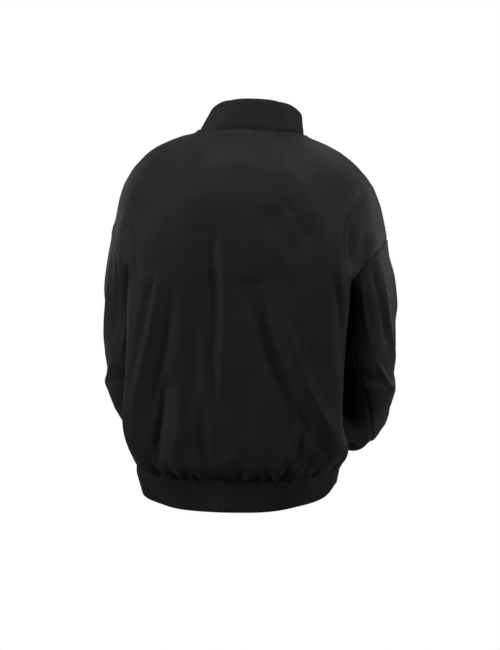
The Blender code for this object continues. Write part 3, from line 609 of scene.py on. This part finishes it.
# ---- relief
def lattice(i, j, k, seed):
    """A number from -1 to 1 for each corner of the noise's lattice."""
    n = sum(part * by for part, by in zip((i, j, k, seed), HASH)) & HASH_MASK
    n = ((n ^ (n >> 13)) * HASH_MIX) & HASH_MASK
    return ((n ^ (n >> 16)) & 0xFFFF) / HASH_HALF - 1


def soft_noise(points, size, seed):
    """Smooth noise from -1 to 1 whose swells are about `size` across."""
    p = points / np.asarray(size)
    cell = np.floor(p).astype(np.int64)
    t = p - cell
    t = t * t * (3 - 2 * t)
    total = 0
    for corner in np.ndindex(2, 2, 2):
        weight = np.prod(np.where(corner, t, 1 - t), axis=-1)
        total = total + weight * lattice(*(cell[..., a] + corner[a] for a in range(3)), seed)
    return total


def crease_rise(chart_points, chart, crease):
    """How far one crease moves each point of its chart."""
    top = chart_place(chart, crease.top_u, crease.top_v)
    run = chart_place(chart, crease.low_u, crease.low_v) - top
    length = np.linalg.norm(run)
    flat = chart_points - top
    t = flat @ run / length ** 2
    off = (flat[..., 0] * run[1] - flat[..., 1] * run[0]) / length
    off = off - crease.bow * 4 * t * (1 - t)
    width = crease.width * (CREASE_WIDTH_TOP + CREASE_WIDENS * np.clip(t, 0, 1))
    width = width * (1 + crease.skew * np.sign(off))
    ends = smooth_step(*CREASE_BEGINS, t) * (1 - smooth_step(*CREASE_ENDS, t))
    return CREASE_GAIN * crease.rise * ends * np.exp(-np.abs(off / width) ** CREASE_SHARP)


def chart_place(chart, u, v):
    """A place in a chart, in metres."""
    scale = (radians(1) * SLEEVE_ROUND, SLEEVE_LONG) if chart.startswith("sleeve") else (1, 1)
    return np.stack((scale[0] * np.asarray(u, float), scale[1] * np.asarray(v, float)), axis=-1)


def creased(points, chart, chart_points, facing):
    """The sum of a chart's creases, bent a little by slow noise so that none is ruled."""
    warp = np.stack([soft_noise(points, CREASE_WARP_SIZE, seed) for seed in WARP_SEEDS], axis=-1)
    bent = chart_points + CREASE_WARP * warp
    return facing * sum(crease_rise(bent, chart, crease) for crease in CREASES[chart])


def drape(points):
    """The cloth's own slow swells and small unevenness, longer up and down."""
    swells = sum(rise * soft_noise(points, size, seed) for rise, size, seed in SWELLS)
    line = (1 - np.abs(soft_noise(points, WRINKLE_SIZE, WRINKLE_SEED))) ** WRINKLE_SHARP
    patchy = smooth_step(*PATCH_STEP, soft_noise(points, PATCH_SIZE, PATCH_SEED))
    return swells + WRINKLE_RISE * line * patchy


def seam_relief(distance, points):
    """A seam's groove, the swell beside it and its puckers."""
    groove = -GROOVE_DEPTH * np.exp(-(distance / GROOVE_WIDTH) ** 2)
    swell = SWELL_HEIGHT * np.exp(-((distance - SWELL_AT) / SWELL_AT * 2) ** 2)
    puckers = PUCKER_DEPTH * soft_noise(points, PUCKER_LENGTH, PUCKER_SEED)
    puckers = puckers * np.exp(-distance / PUCKER_REACH)
    return groove + swell + puckers * np.clip(distance / GROOVE_WIDTH, 0, 1)


def gathered(gathers, along, above):
    """Pleats above a rib: `along` runs with the seam and `above` up from it."""
    total = np.zeros_like(above)
    for g in gathers:
        fade = np.exp(-(above / g.reach) ** GATHER_FADE)
        fade = fade * (GATHER_AT_SEAM + (1 - GATHER_AT_SEAM) * smooth_step(0, GATHER_FULL, above))
        width = g.width * (1 + GATHER_WIDENS * above / g.reach)
        off = np.abs((along - g.along - g.lean * above) / width)
        shape = GATHER_BANK * np.exp(-(off - GATHER_BANK_AT) ** 2) - np.exp(-off ** CREASE_SHARP)
        total += GATHER_GAIN * g.sink * fade * shape
    return total


# ---- cloth grids
Piece = namedtuple("Piece", "name grid chart chart_points seams gathers rib_edge")


def body_pieces():
    back = half_panel(BACK_SECTIONS, 0.0, +1)
    back = np.concatenate((mirrored(back)[:, :0:-1], back), axis=1)
    front = half_panel(FRONT_SECTIONS, FRONT_EDGE_X, -1)
    grids = {"back": back, "front_left": front[:, ::-1], "front_right": mirrored(front)}
    pieces = []
    for name, grid in grids.items():
        grid = posed(grid)
        seams = {"back": (0, 1, 2, 3), "front_left": (0, 1, 2), "front_right": (0, 1, 3)}[name]
        gathers = BACK_GATHERS if name == "back" else FRONT_GATHERS
        chart = name.split("_")[0]
        pieces.append(Piece(name, grid, chart, grid[..., (0, 2)], seams, gathers, 0))
    return pieces


def sleeve_pieces():
    first, last = UNDER_SLEEVE
    spans = {"upper": (last, first + 2 * ARMHOLE_ROWS), "under": (first, last)}
    pieces = []
    for side in ("left", "right"):
        for piece, span in spans.items():
            angles = sleeve_angles(*span)
            grid, at = sleeve_grid(angles)
            degrees = np.degrees(angles) % 360
            turn, share = np.meshgrid(degrees, at)
            if side == "right":
                grid, turn = mirrored(grid)[:, ::-1], turn[:, ::-1]
            chart = f"sleeve_{side}"
            pieces.append(Piece(f"sleeve_{side}_{piece}", posed(grid), chart,
                                chart_place(chart, turn, share), (0, 1, 2, 3), CUFF_GATHERS, 1))
    return pieces


def facing_of(piece, normals):
    """How far a body panel faces straight back or front, where its creases show."""
    way = {"back": 1, "front": -1}.get(piece.chart)
    return smooth_step(*FACING, way * normals[..., 1]) if way else np.ones(normals.shape[:-1])


def relief_of(piece, normals):
    distances = from_edges(piece.grid)
    rise = creased(piece.grid, piece.chart, piece.chart_points, facing_of(piece, normals))
    edge = np.min([distances[i] for i in piece.seams], axis=0)
    rise = rise * smooth_step(-SEAM_KEEPS, SEAM_REACH, edge) + drape(piece.grid)
    along = run_length(piece.grid, 1)[-1 if piece.rib_edge else 0]
    above = distances[piece.rib_edge]
    rise = rise + gathered(piece.gathers, along[None, :], above)
    for i in piece.seams:
        rise = rise + seam_relief(distances[i], piece.grid)
    if piece.chart in ("back", "front"):
        near, far = NECK_BAND_EDGE
        down = distances[1]
        band = smooth_step(0, near, down) * (1 - smooth_step(far - near, far, down))
        rise = rise + NECK_BAND * band
    return rise


# ---- rib grids
def even_columns(rows):
    """Rows resampled together so that the columns are evenly spaced along the middle."""
    run = run_length(rows[len(rows) // 2], 0)
    ribs = int(round(run[-1] / RIB_PITCH))
    at = np.linspace(0, run[-1], ribs * RIB_SAMPLES + 1)
    return np.array([read_line(row, run, at) for row in rows])


def rib_between(seam_row, end_row):
    """Rows from the seam to the rib's end, with one more tucked under the cloth."""
    rows = [seam_row + (end_row - seam_row) * t for t in np.linspace(0, 1, RIB_STEPS + 1)]
    tuck = seam_row - unit(end_row - seam_row) * RIB_TUCK
    return [tuck] + rows


def whole_row(station, back_table, front_table, edges):
    """One row from the left front round the back to the right front."""
    at = np.array([station])
    back = sections_between(back_table, at, 0.0, +1, edges[0], half_columns())[0]
    front = sections_between(front_table, at, FRONT_EDGE_X, -1, edges[1], half_columns())[0]
    left = np.concatenate((front[:-1], back[:0:-1]))
    return np.concatenate((left, [back[0]], mirrored(left)[::-1]))


def free_edge(back_section, front_section, side_point):
    """A whole rib's free edge, from the two sections at its ends."""
    tables = [(section, section._replace(at=1)) for section in (back_section, front_section)]
    return whole_row(0.0, *tables, [np.array(side_point, float)[None, :]] * 2)


def free_edges():
    return (free_edge(HEM_END_BACK, HEM_END_FRONT, HEM_END_SIDE),
            free_edge(COLLAR_END_BACK, COLLAR_END_FRONT, COLLAR_END_SIDE))


def body_row(station):
    """The body's own bottom or top row."""
    edges = [panel_edge(np.array([station]), side) for side in (+1, -1)]
    return whole_row(station, BACK_SECTIONS, FRONT_SECTIONS, edges)


def rib_grid(seam_row, end_row, upside_down, wraps):
    grid = even_columns([posed(row) for row in rib_between(seam_row, end_row)])
    if upside_down:
        grid = grid[::-1]
    return grid[:, :-1] if wraps else grid


def rib_surfaces(grid, upside_down, wraps):
    """A rib knit's two faces: ridges up and down it on both sides, its seam tucked in."""
    normals = grid_normals(grid, wraps)
    ridge = np.cos(2 * pi * np.arange(grid.shape[1]) / RIB_SAMPLES)
    ridge = np.sign(ridge) * np.abs(ridge) ** RIDGE_SHARP * RIB_DEPTH
    down = run_length(grid, 0)
    from_seam = down[-1:] - down if upside_down else down
    sink = -TUCK_DEPTH * (1 - smooth_step(*TUCK_ENDS, from_seam))
    rise = sink + RIB_UNEVEN * soft_noise(grid, RIB_UNEVEN_SIZE, RIB_SEED)
    return (grid + normals * (rise + ridge[None, :])[..., None],
            grid + normals * (rise - ridge[None, :] - RIB_WALL)[..., None])


# ---- meshes
def grid_faces(rows, columns, wraps, first=0):
    last = columns if wraps else columns - 1
    r, c = np.meshgrid(np.arange(rows - 1), np.arange(last), indexing="ij")
    d = (c + 1) % columns
    low, high = r * columns, (r + 1) * columns
    return np.stack((low + c, low + d, high + d, high + c), -1).reshape(-1, 4) + first


def shell_mesh(name, outer, inner, wraps=False):
    """A closed shell between two grids, with rounded rims and a map of the cloth in metres."""
    rows, columns = outer.shape[:2]
    count = rows * columns
    points = [outer.reshape(-1, 3), inner.reshape(-1, 3)]
    faces = [grid_faces(rows, columns, wraps), grid_faces(rows, columns, wraps, count)[:, ::-1]]
    across = run_length(outer, 1).mean(axis=0)
    down = run_length(outer, 0).mean(axis=1)
    chart = np.stack(np.meshgrid(across, down), axis=-1).reshape(-1, 2)
    charts = [chart, chart]
    index = np.arange(count).reshape(rows, columns)
    total = 2 * count
    for (edge, inner_edge), flip in zip(borders(wraps), (True, False, False, True)):
        line = index[edge]
        beyond = unit(outer[edge] - outer[inner_edge])
        thick = np.linalg.norm(outer[edge] - inner[edge], axis=-1, keepdims=True)
        middle = (outer[edge] + inner[edge]) / 2 + beyond * thick * RIM_ROUND
        ring = total + np.arange(len(line))
        points.append(middle)
        charts.append(chart[line])
        total += len(line)
        for a, b in ((line, ring), (ring, line + count)):
            if wraps:
                a, b = np.append(a, a[0]), np.append(b, b[0])
            quad = np.stack((a[1:], a[:-1], b[:-1], b[1:]), axis=-1)
            faces.append(quad[:, ::-1] if flip else quad)
    return add_mesh(name, np.concatenate(points), np.concatenate(faces), np.concatenate(charts))


def add_mesh(name, points, faces, chart=None, smooth=True):
    mesh = bpy.data.meshes.new(name)
    mesh.from_pydata(points.tolist(), [], faces.tolist() if hasattr(faces, "tolist") else faces)
    if chart is not None:
        layer = mesh.uv_layers.new(name="cloth")
        corner = np.zeros(len(mesh.loops), np.int32)
        mesh.loops.foreach_get("vertex_index", corner)
        layer.data.foreach_set("uv", chart[corner].astype(np.float32).ravel())
    work = bmesh.new()
    work.from_mesh(mesh)
    bmesh.ops.recalc_face_normals(work, faces=work.faces)
    work.to_mesh(mesh)
    work.free()
    if smooth:
        mesh.shade_smooth()
    made = bpy.data.objects.new(name, mesh)
    bpy.context.scene.collection.objects.link(made)
    return made


def dress(made, material, slot, *nodes, body="jacket"):
    """Give a new piece its finish, its body and the nodes that it stands for."""
    made.data.materials.clear()
    made.data.materials.append(material)
    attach(made, body)
    if nodes:
        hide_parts(*nodes)


# ---- materials
WAVE_STEP = 20  # a wave texture turns this many radians in a unit at scale 1
THREAD_DEPTH, THREAD_WANDER, THREAD_DETAIL = 0.0001, 0.6, 2.0
SLUB_SCALE, SLUB_DETAIL = 220.0, 3.0
MOTTLE_SCALE, MOTTLE_DETAIL, MOTTLE_STOPS = 14.0, 4.0, (0.30, 0.72)
CLOTH_SPECULAR, SHEEN_ROUGHNESS, SHEEN_TINT = 0.10, 0.40, (0.80, 0.86, 1.0, 1.0)
Weave = namedtuple("Weave", "name dark light roughness sheen threads_per_metre strength")
WEAVES = {
    "cloth": Weave("black_woven_cloth", (0.0125, 0.0127, 0.0135), (0.0165, 0.0168, 0.0178),
                   0.60, 0.02, 2600.0, 0.25),
    "rib": Weave("black_rib_knit", (0.0175, 0.0177, 0.0184), (0.0235, 0.0238, 0.0246),
                 0.80, 0.04, 1500.0, 0.45),
    "tape": Weave("black_zip_tape", (0.0095, 0.0097, 0.0104), (0.0130, 0.0132, 0.0140),
                  0.72, 0.03, 1800.0, 0.35),
}
METAL_COLOUR, METAL_ROUGHNESS, METAL_WORN = (0.060, 0.060, 0.066), 0.34, 1.6
METAL_MOTTLE = 400.0
SCRATCH_SCALE, SCRATCH_DETAIL, SCRATCH_STRENGTH, SCRATCH_DEPTH = 2500.0, 5.0, 0.12, 0.0001


def node(tree, kind, **values):
    """A shader node; each named input is set to a value or joined to another's output."""
    made = tree.nodes.new(kind)
    for name, value in values.items():
        if name not in made.inputs:
            setattr(made, name, value)
        elif isinstance(value, bpy.types.NodeSocket):
            tree.links.new(value, made.inputs[name])
        else:
            made.inputs[name].default_value = value
    return made


def combined(tree, operation, first, second):
    made = node(tree, "ShaderNodeMath", operation=operation)
    tree.links.new(first, made.inputs[0])
    tree.links.new(second, made.inputs[1])
    return made.outputs[0]


def base_material(name, roughness, metallic=0.0):
    material = bpy.data.materials.new(name)
    material.use_nodes = True
    shader = material.node_tree.nodes["Principled BSDF"]
    shader.inputs["Roughness"].default_value = roughness
    shader.inputs["Metallic"].default_value = metallic
    return material, material.node_tree, shader


def mottle(tree, where, shader, scale, dark, light):
    """Slow unevenness of colour between two near shades."""
    noise = node(tree, "ShaderNodeTexNoise", Scale=scale, Detail=MOTTLE_DETAIL, Vector=where)
    ramp = node(tree, "ShaderNodeValToRGB", Fac=noise.outputs["Fac"])
    for stop, place, colour in zip(ramp.color_ramp.elements, MOTTLE_STOPS, (dark, light)):
        stop.position, stop.color = place, (*colour, 1)
    tree.links.new(ramp.outputs["Color"], shader.inputs["Base Color"])


def bumped(tree, shader, height, strength, distance):
    bump = node(tree, "ShaderNodeBump", Strength=strength, Distance=distance, Height=height)
    tree.links.new(bump.outputs["Normal"], shader.inputs["Normal"])


def threads(tree, where, direction, per_metre):
    made = node(tree, "ShaderNodeTexWave", Scale=per_metre * 2 * pi / WAVE_STEP,
                Distortion=THREAD_WANDER, bands_direction=direction, Vector=where)
    made.inputs["Detail Scale"].default_value = THREAD_DETAIL
    return made.outputs["Fac"]


def weave_material(weave):
    """Plain-woven cloth: warp and weft in the bump, a soft sheen over near-black."""
    material, tree, shader = base_material(weave.name, weave.roughness)
    where = node(tree, "ShaderNodeUVMap", uv_map="cloth").outputs["UV"]
    mottle(tree, where, shader, MOTTLE_SCALE, weave.dark, weave.light)
    warp, weft = (threads(tree, where, way, weave.threads_per_metre) for way in "XY")
    slub = node(tree, "ShaderNodeTexNoise", Scale=SLUB_SCALE, Detail=SLUB_DETAIL, Vector=where)
    height = combined(tree, "ADD", combined(tree, "MULTIPLY", warp, weft), slub.outputs["Fac"])
    bumped(tree, shader, height, weave.strength, THREAD_DEPTH)
    shader.inputs["Specular IOR Level"].default_value = CLOTH_SPECULAR
    shader.inputs["Sheen Weight"].default_value = weave.sheen
    shader.inputs["Sheen Roughness"].default_value = SHEEN_ROUGHNESS
    shader.inputs["Sheen Tint"].default_value = SHEEN_TINT
    return material


def metal_material():
    """Dark plated metal with fine scratches and slightly brighter worn places."""
    material, tree, shader = base_material("dark_zip_metal", METAL_ROUGHNESS, 1.0)
    where = node(tree, "ShaderNodeTexCoord").outputs["Object"]
    mottle(tree, where, shader, METAL_MOTTLE, METAL_COLOUR, [METAL_WORN * c for c in METAL_COLOUR])
    scratch = node(tree, "ShaderNodeTexNoise", Vector=where,
                   Scale=SCRATCH_SCALE, Detail=SCRATCH_DETAIL)
    bumped(tree, shader, scratch.outputs["Fac"], SCRATCH_STRENGTH, SCRATCH_DEPTH)
    return material


def make_materials():
    made = {name: weave_material(weave) for name, weave in WEAVES.items()}
    return {**made, "metal": metal_material()}


# ---- the cloth
# The cut of a piece: width, length and, where it isn't a rectangle, area.
Cut = namedtuple("Cut", "width length area")


def build_cloth(materials):
    """The woven pieces; gives back each one's outer grid and normals for what lies on it."""
    pieces = body_pieces() + sleeve_pieces()
    grids = {piece.name: piece.grid for piece in pieces}
    normals = {name: grid_normals(grid) for name, grid in grids.items()}
    share_normals(grids, normals)
    surfaces = {}
    for piece in pieces:
        rise = relief_of(piece, normals[piece.name])
        outer = piece.grid + normals[piece.name] * rise[..., None]
        inner = outer - normals[piece.name] * CLOTH_WALL
        made = shell_mesh(piece.name + "_shell", outer, inner)
        dress(made, materials["cloth"], "black_cloth", piece.name)
        surfaces[piece.name] = (outer, normals[piece.name])
    return surfaces


def build_ribs(materials):
    hem_end, collar_end = free_edges()
    angles = np.linspace(0, 2 * pi, 2 * ARMHOLE_ROWS + 1)
    cuff = [sleeve_ring(ring, angles) for ring in (SLEEVE_RINGS[-1], CUFF_END)]
    ribs = {"hem_rib": (body_row(0.0)[::-1], hem_end[::-1]),
            "collar": (body_row(TOP_STATION)[::-1], collar_end[::-1]),
            "cuff_left": cuff, "cuff_right": [mirrored(row)[::-1] for row in cuff]}
    for name, (seam_row, end_row) in ribs.items():
        upside_down, wraps = name == "hem_rib", name.startswith("cuff")
        grid = rib_grid(seam_row, end_row, upside_down, wraps)
        made = shell_mesh(name + "_shell", *rib_surfaces(grid, upside_down, wraps), wraps)
        dress(made, materials["rib"], "black_rib", name)


# ---- stitches
def line_beside(surface, border, distance):
    """A line on a surface at one distance in from one of its borders, and its normals."""
    outer, normals = surface
    if border in ("start_row", "end_row"):
        outer, normals = outer.swapaxes(0, 1), normals.swapaxes(0, 1)
    if border in ("end_row", "end_column"):
        outer, normals = outer[:, ::-1], normals[:, ::-1]
    run = run_length(outer, 1)
    both = zip(outer, normals, run)
    lines = [(read_line(row, length, distance), read_line(normal, length, distance))
             for row, normal, length in both]
    points, ways = map(np.array, zip(*lines))
    return points, unit(ways)


def stitches_along(points, normals):
    """Corner points of one small rounded bar for every stitch along a line."""
    run = run_length(points, 0)
    bars = []
    for start in np.arange(STITCH_PITCH, run[-1] - STITCH_PITCH, STITCH_PITCH):
        first, last = (read_line(points, run, start + s) for s in (0, STITCH_LENGTH))
        up = unit(read_line(normals, run, start))
        side = np.cross(up, unit(last - first)) * STITCH_HALF_WIDTH
        rows = []
        for share, swell in STITCH_SWELL:
            middle = first + (last - first) * share
            foot, top = side * swell, up * STITCH_HEIGHT * swell
            rows.append([middle - foot - up * STITCH_HEIGHT, middle - foot * STITCH_TOP + top,
                         middle + foot * STITCH_TOP + top, middle + foot - up * STITCH_HEIGHT])
        bars.append(rows)
    return np.array(bars)


def build_stitching(surfaces, materials):
    lines = [("back", "end_row", NECK_STITCH)]
    for side, edge in (("left", "end_column"), ("right", "start_column")):
        lines += [(f"front_{side}", "end_row", NECK_STITCH), (f"front_{side}", edge, ZIP_STITCH)]
    bars = np.concatenate([stitches_along(*line_beside(surfaces[name], border, distance))
                           for name, border, distance in lines])
    dress(bars_mesh("topstitching", bars), materials["tape"], "black_cloth")


def bars_mesh(name, bars):
    """One mesh of many four-sided bars, each given as rows of four corners."""
    count, rows = bars.shape[:2]
    faces = []
    for row in range(rows - 1):
        for side in range(4):
            a, b = 4 * row + side, 4 * row + (side + 1) % 4
            faces.append((a, b, b + 4, a + 4))
    faces += [(3, 2, 1, 0), tuple(4 * (rows - 1) + k for k in range(4))]
    faces = np.array(faces)
    starts = np.arange(count)[:, None, None] * 4 * rows
    return add_mesh(name, bars.reshape(-1, 3), (faces[None] + starts).reshape(-1, 4))


# ---- zip
def front_edge(side):
    """The front's centre edge from hem to collar: its points, normals and way outward in X."""
    hem_end, collar_end = free_edges()
    front = half_panel(FRONT_SECTIONS, FRONT_EDGE_X, -1)[:, :2]
    share = np.linspace(0, 1, RIB_STEPS + 1)[:, None, None]
    hem = hem_end[:2] + (front[0] - hem_end[:2]) * share
    collar = front[-1] + (collar_end[:2] - front[-1]) * share
    strip = np.concatenate((hem[:-1], front, collar[1:]))
    strip = posed(strip if side == "left" else mirrored(strip))
    upward = np.gradient(strip[:, 0], axis=0)
    across = strip[:, 1] - strip[:, 0]
    normals = np.cross(across, upward) * (-1 if side == "right" else 1)
    return strip[:, 0], unit(across), unit(normals * (0, 1, 1))


def trimmed(rows, start, end):
    """Rows of several arrays along one line, cut to begin and end at given lengths."""
    run = run_length(rows[0], 0)
    stop = run[-1] - end
    at = np.concatenate(([start], run[(run > start) & (run < stop)], [stop]))
    return [read_line(row, run, at) for row in rows]


def build_tapes(materials):
    for side in ("left", "right"):
        edge, across, normals = trimmed(front_edge(side), TAPE_FOOT, ZIP_TOP_DROP)
        columns = [edge + across * (x - FRONT_EDGE_X) - normals * TAPE_DEPTH
                   for x in np.linspace(*TAPE_EDGE_X, TAPE_COLUMNS)]
        outer = np.stack(columns[::-1] if side == "left" else columns, axis=1)
        made = shell_mesh(f"zip_tape_{side}_shell", outer, outer - normals[:, None] * TAPE_WALL)
        dress(made, materials["tape"], "black_tape", f"zip_tape_{side}")


def build_teeth(materials):
    """Two rows of moulded teeth that mesh on the centre line below the slider."""
    left, _, left_normals = front_edge("left")
    right, _, right_normals = front_edge("right")
    middle, normals = (left + right) / 2, unit(left_normals + right_normals)
    middle, normals = trimmed((middle, normals), BOX_LENGTH + 4 * SEAM_GAP,
                              SLIDER_DROP + SLIDER_LENGTH / 2)
    run = run_length(middle, 0)
    bars = []
    for index, at in enumerate(np.arange(TOOTH_PITCH, run[-1], TOOTH_PITCH / 2)):
        side = 1 if index % 2 else -1
        place, out = read_line(middle, run, at), unit(read_line(normals, run, at))
        face, back = -out * TOOTH_FACE, -out * TOOTH_BACK
        rows = []
        for reach, swell in zip(np.linspace(*TOOTH_REACH, len(TOOTH_SWELL)), TOOTH_SWELL):
            centre = place + np.array((side * reach, 0, 0))
            half = np.cross(out, (1.0, 0, 0)) * TOOTH_LENGTH / 2 * swell
            rows.append([centre - half + face, centre + half + face,
                         centre + half + back, centre - half + back])
        bars.append(rows)
    dress(bars_mesh("zip_teeth", np.array(bars)), materials["metal"], "dark_metal", "zip_chain")


def build_hardware(frame, materials):
    """The slider, its tab and the box, as their solids are but with rounded edges."""
    for name, body in (("zip_slider", "jacket"), ("zip_pull", "pull_tab"), ("zip_box", "jacket")):
        solid = frame["nodes"][name]
        made = bpy.data.objects.new(f"{name}_rounded", solid.data.copy())
        bpy.context.scene.collection.objects.link(made)
        made.matrix_world = solid.matrix_world.copy()
        work = bmesh.new()
        work.from_mesh(made.data)
        bmesh.ops.dissolve_limit(work, angle_limit=FLAT_WITHIN, verts=work.verts, edges=work.edges)
        sharp = [edge for edge in work.edges if edge.calc_face_angle(0) > SHARP_ABOVE]
        rounded = bmesh.ops.bevel(work, geom=sharp, offset=METAL_ROUND, segments=METAL_ROUND_STEPS,
                                  profile=0.5, affect="EDGES", clamp_overlap=True)["faces"]
        for face in rounded:
            face.smooth = True
        work.to_mesh(made.data)
        work.free()
        dress(made, materials["metal"], "dark_metal", name, body=body)


# ---- stage
def area_light(name, place, size, power):
    light = bpy.data.lights.new(name, "AREA")
    light.shape = "RECTANGLE"
    light.size, light.size_y = size
    light.energy = power
    made = bpy.data.objects.new(name, light)
    made.location = AIM + Vector(place)
    made.rotation_euler = (-Vector(place)).to_track_quat("-Z", "Y").to_euler()
    bpy.context.scene.collection.objects.link(made)


def white_to_the_eye(tree, lighting, output):
    """Show plain white to the camera, whatever this surface gives to the rest."""
    white = node(tree, "ShaderNodeEmission", Color=(1, 1, 1, 1))
    seen = node(tree, "ShaderNodeLightPath").outputs["Is Camera Ray"]
    mix = node(tree, "ShaderNodeMixShader", Fac=seen)
    tree.links.new(lighting, mix.inputs[1])
    tree.links.new(white.outputs[0], mix.inputs[2])
    tree.links.new(mix.outputs[0], tree.nodes[output].inputs["Surface"])


def build_world():
    """A white room that lights the jacket no more than a grey one."""
    world = bpy.data.worlds.new("studio")
    bpy.context.scene.world = world
    world.use_nodes = True
    lighting = world.node_tree.nodes["Background"]
    lighting.inputs["Color"].default_value = ROOM_COLOUR
    lighting.inputs["Strength"].default_value = ROOM_LIGHT
    white_to_the_eye(world.node_tree, lighting.outputs[0], "World Output")


def build_stage():
    half = FLOOR_HALF
    corners = [(x, y, FLOOR_Z) for x, y in
               ((-half, -half), (half, -half), (half, half), (-half, half))]
    floor = add_mesh("floor", np.array(corners), [(0, 1, 2, 3)], smooth=False)
    material, tree, shader = base_material("pale_floor", FLOOR_ROUGHNESS)
    shader.inputs["Base Color"].default_value = (FLOOR_SHADE, FLOOR_SHADE, FLOOR_SHADE, 1)
    white_to_the_eye(tree, shader.outputs[0], "Material Output")
    floor.data.materials.append(material)
    build_world()
    for light in LIGHTS:
        area_light(*light)
    bpy.context.scene.view_settings.view_transform = "Standard"


def build_camera():
    data = bpy.data.cameras.new("camera")
    data.lens = CAMERA_LENS
    made = bpy.data.objects.new("camera", data)
    back = Vector((sin(CAMERA_AZIMUTH) * cos(CAMERA_ELEVATION),
                   -cos(CAMERA_AZIMUTH) * cos(CAMERA_ELEVATION), sin(CAMERA_ELEVATION)))
    made.location = AIM + back * CAMERA_DISTANCE
    made.rotation_euler = (-back).to_track_quat("-Z", "Y").to_euler()
    bpy.context.scene.collection.objects.link(made)
    bpy.context.scene.camera = made


def main():
    for thing in list(bpy.data.objects):
        bpy.data.objects.remove(thing, do_unlink=True)
    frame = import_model()
    materials = make_materials()
    surfaces = build_cloth(materials)
    build_ribs(materials)
    build_stitching(surfaces, materials)
    build_tapes(materials)
    build_teeth(materials)
    build_hardware(frame, materials)
    build_stage()
    build_camera()


main()
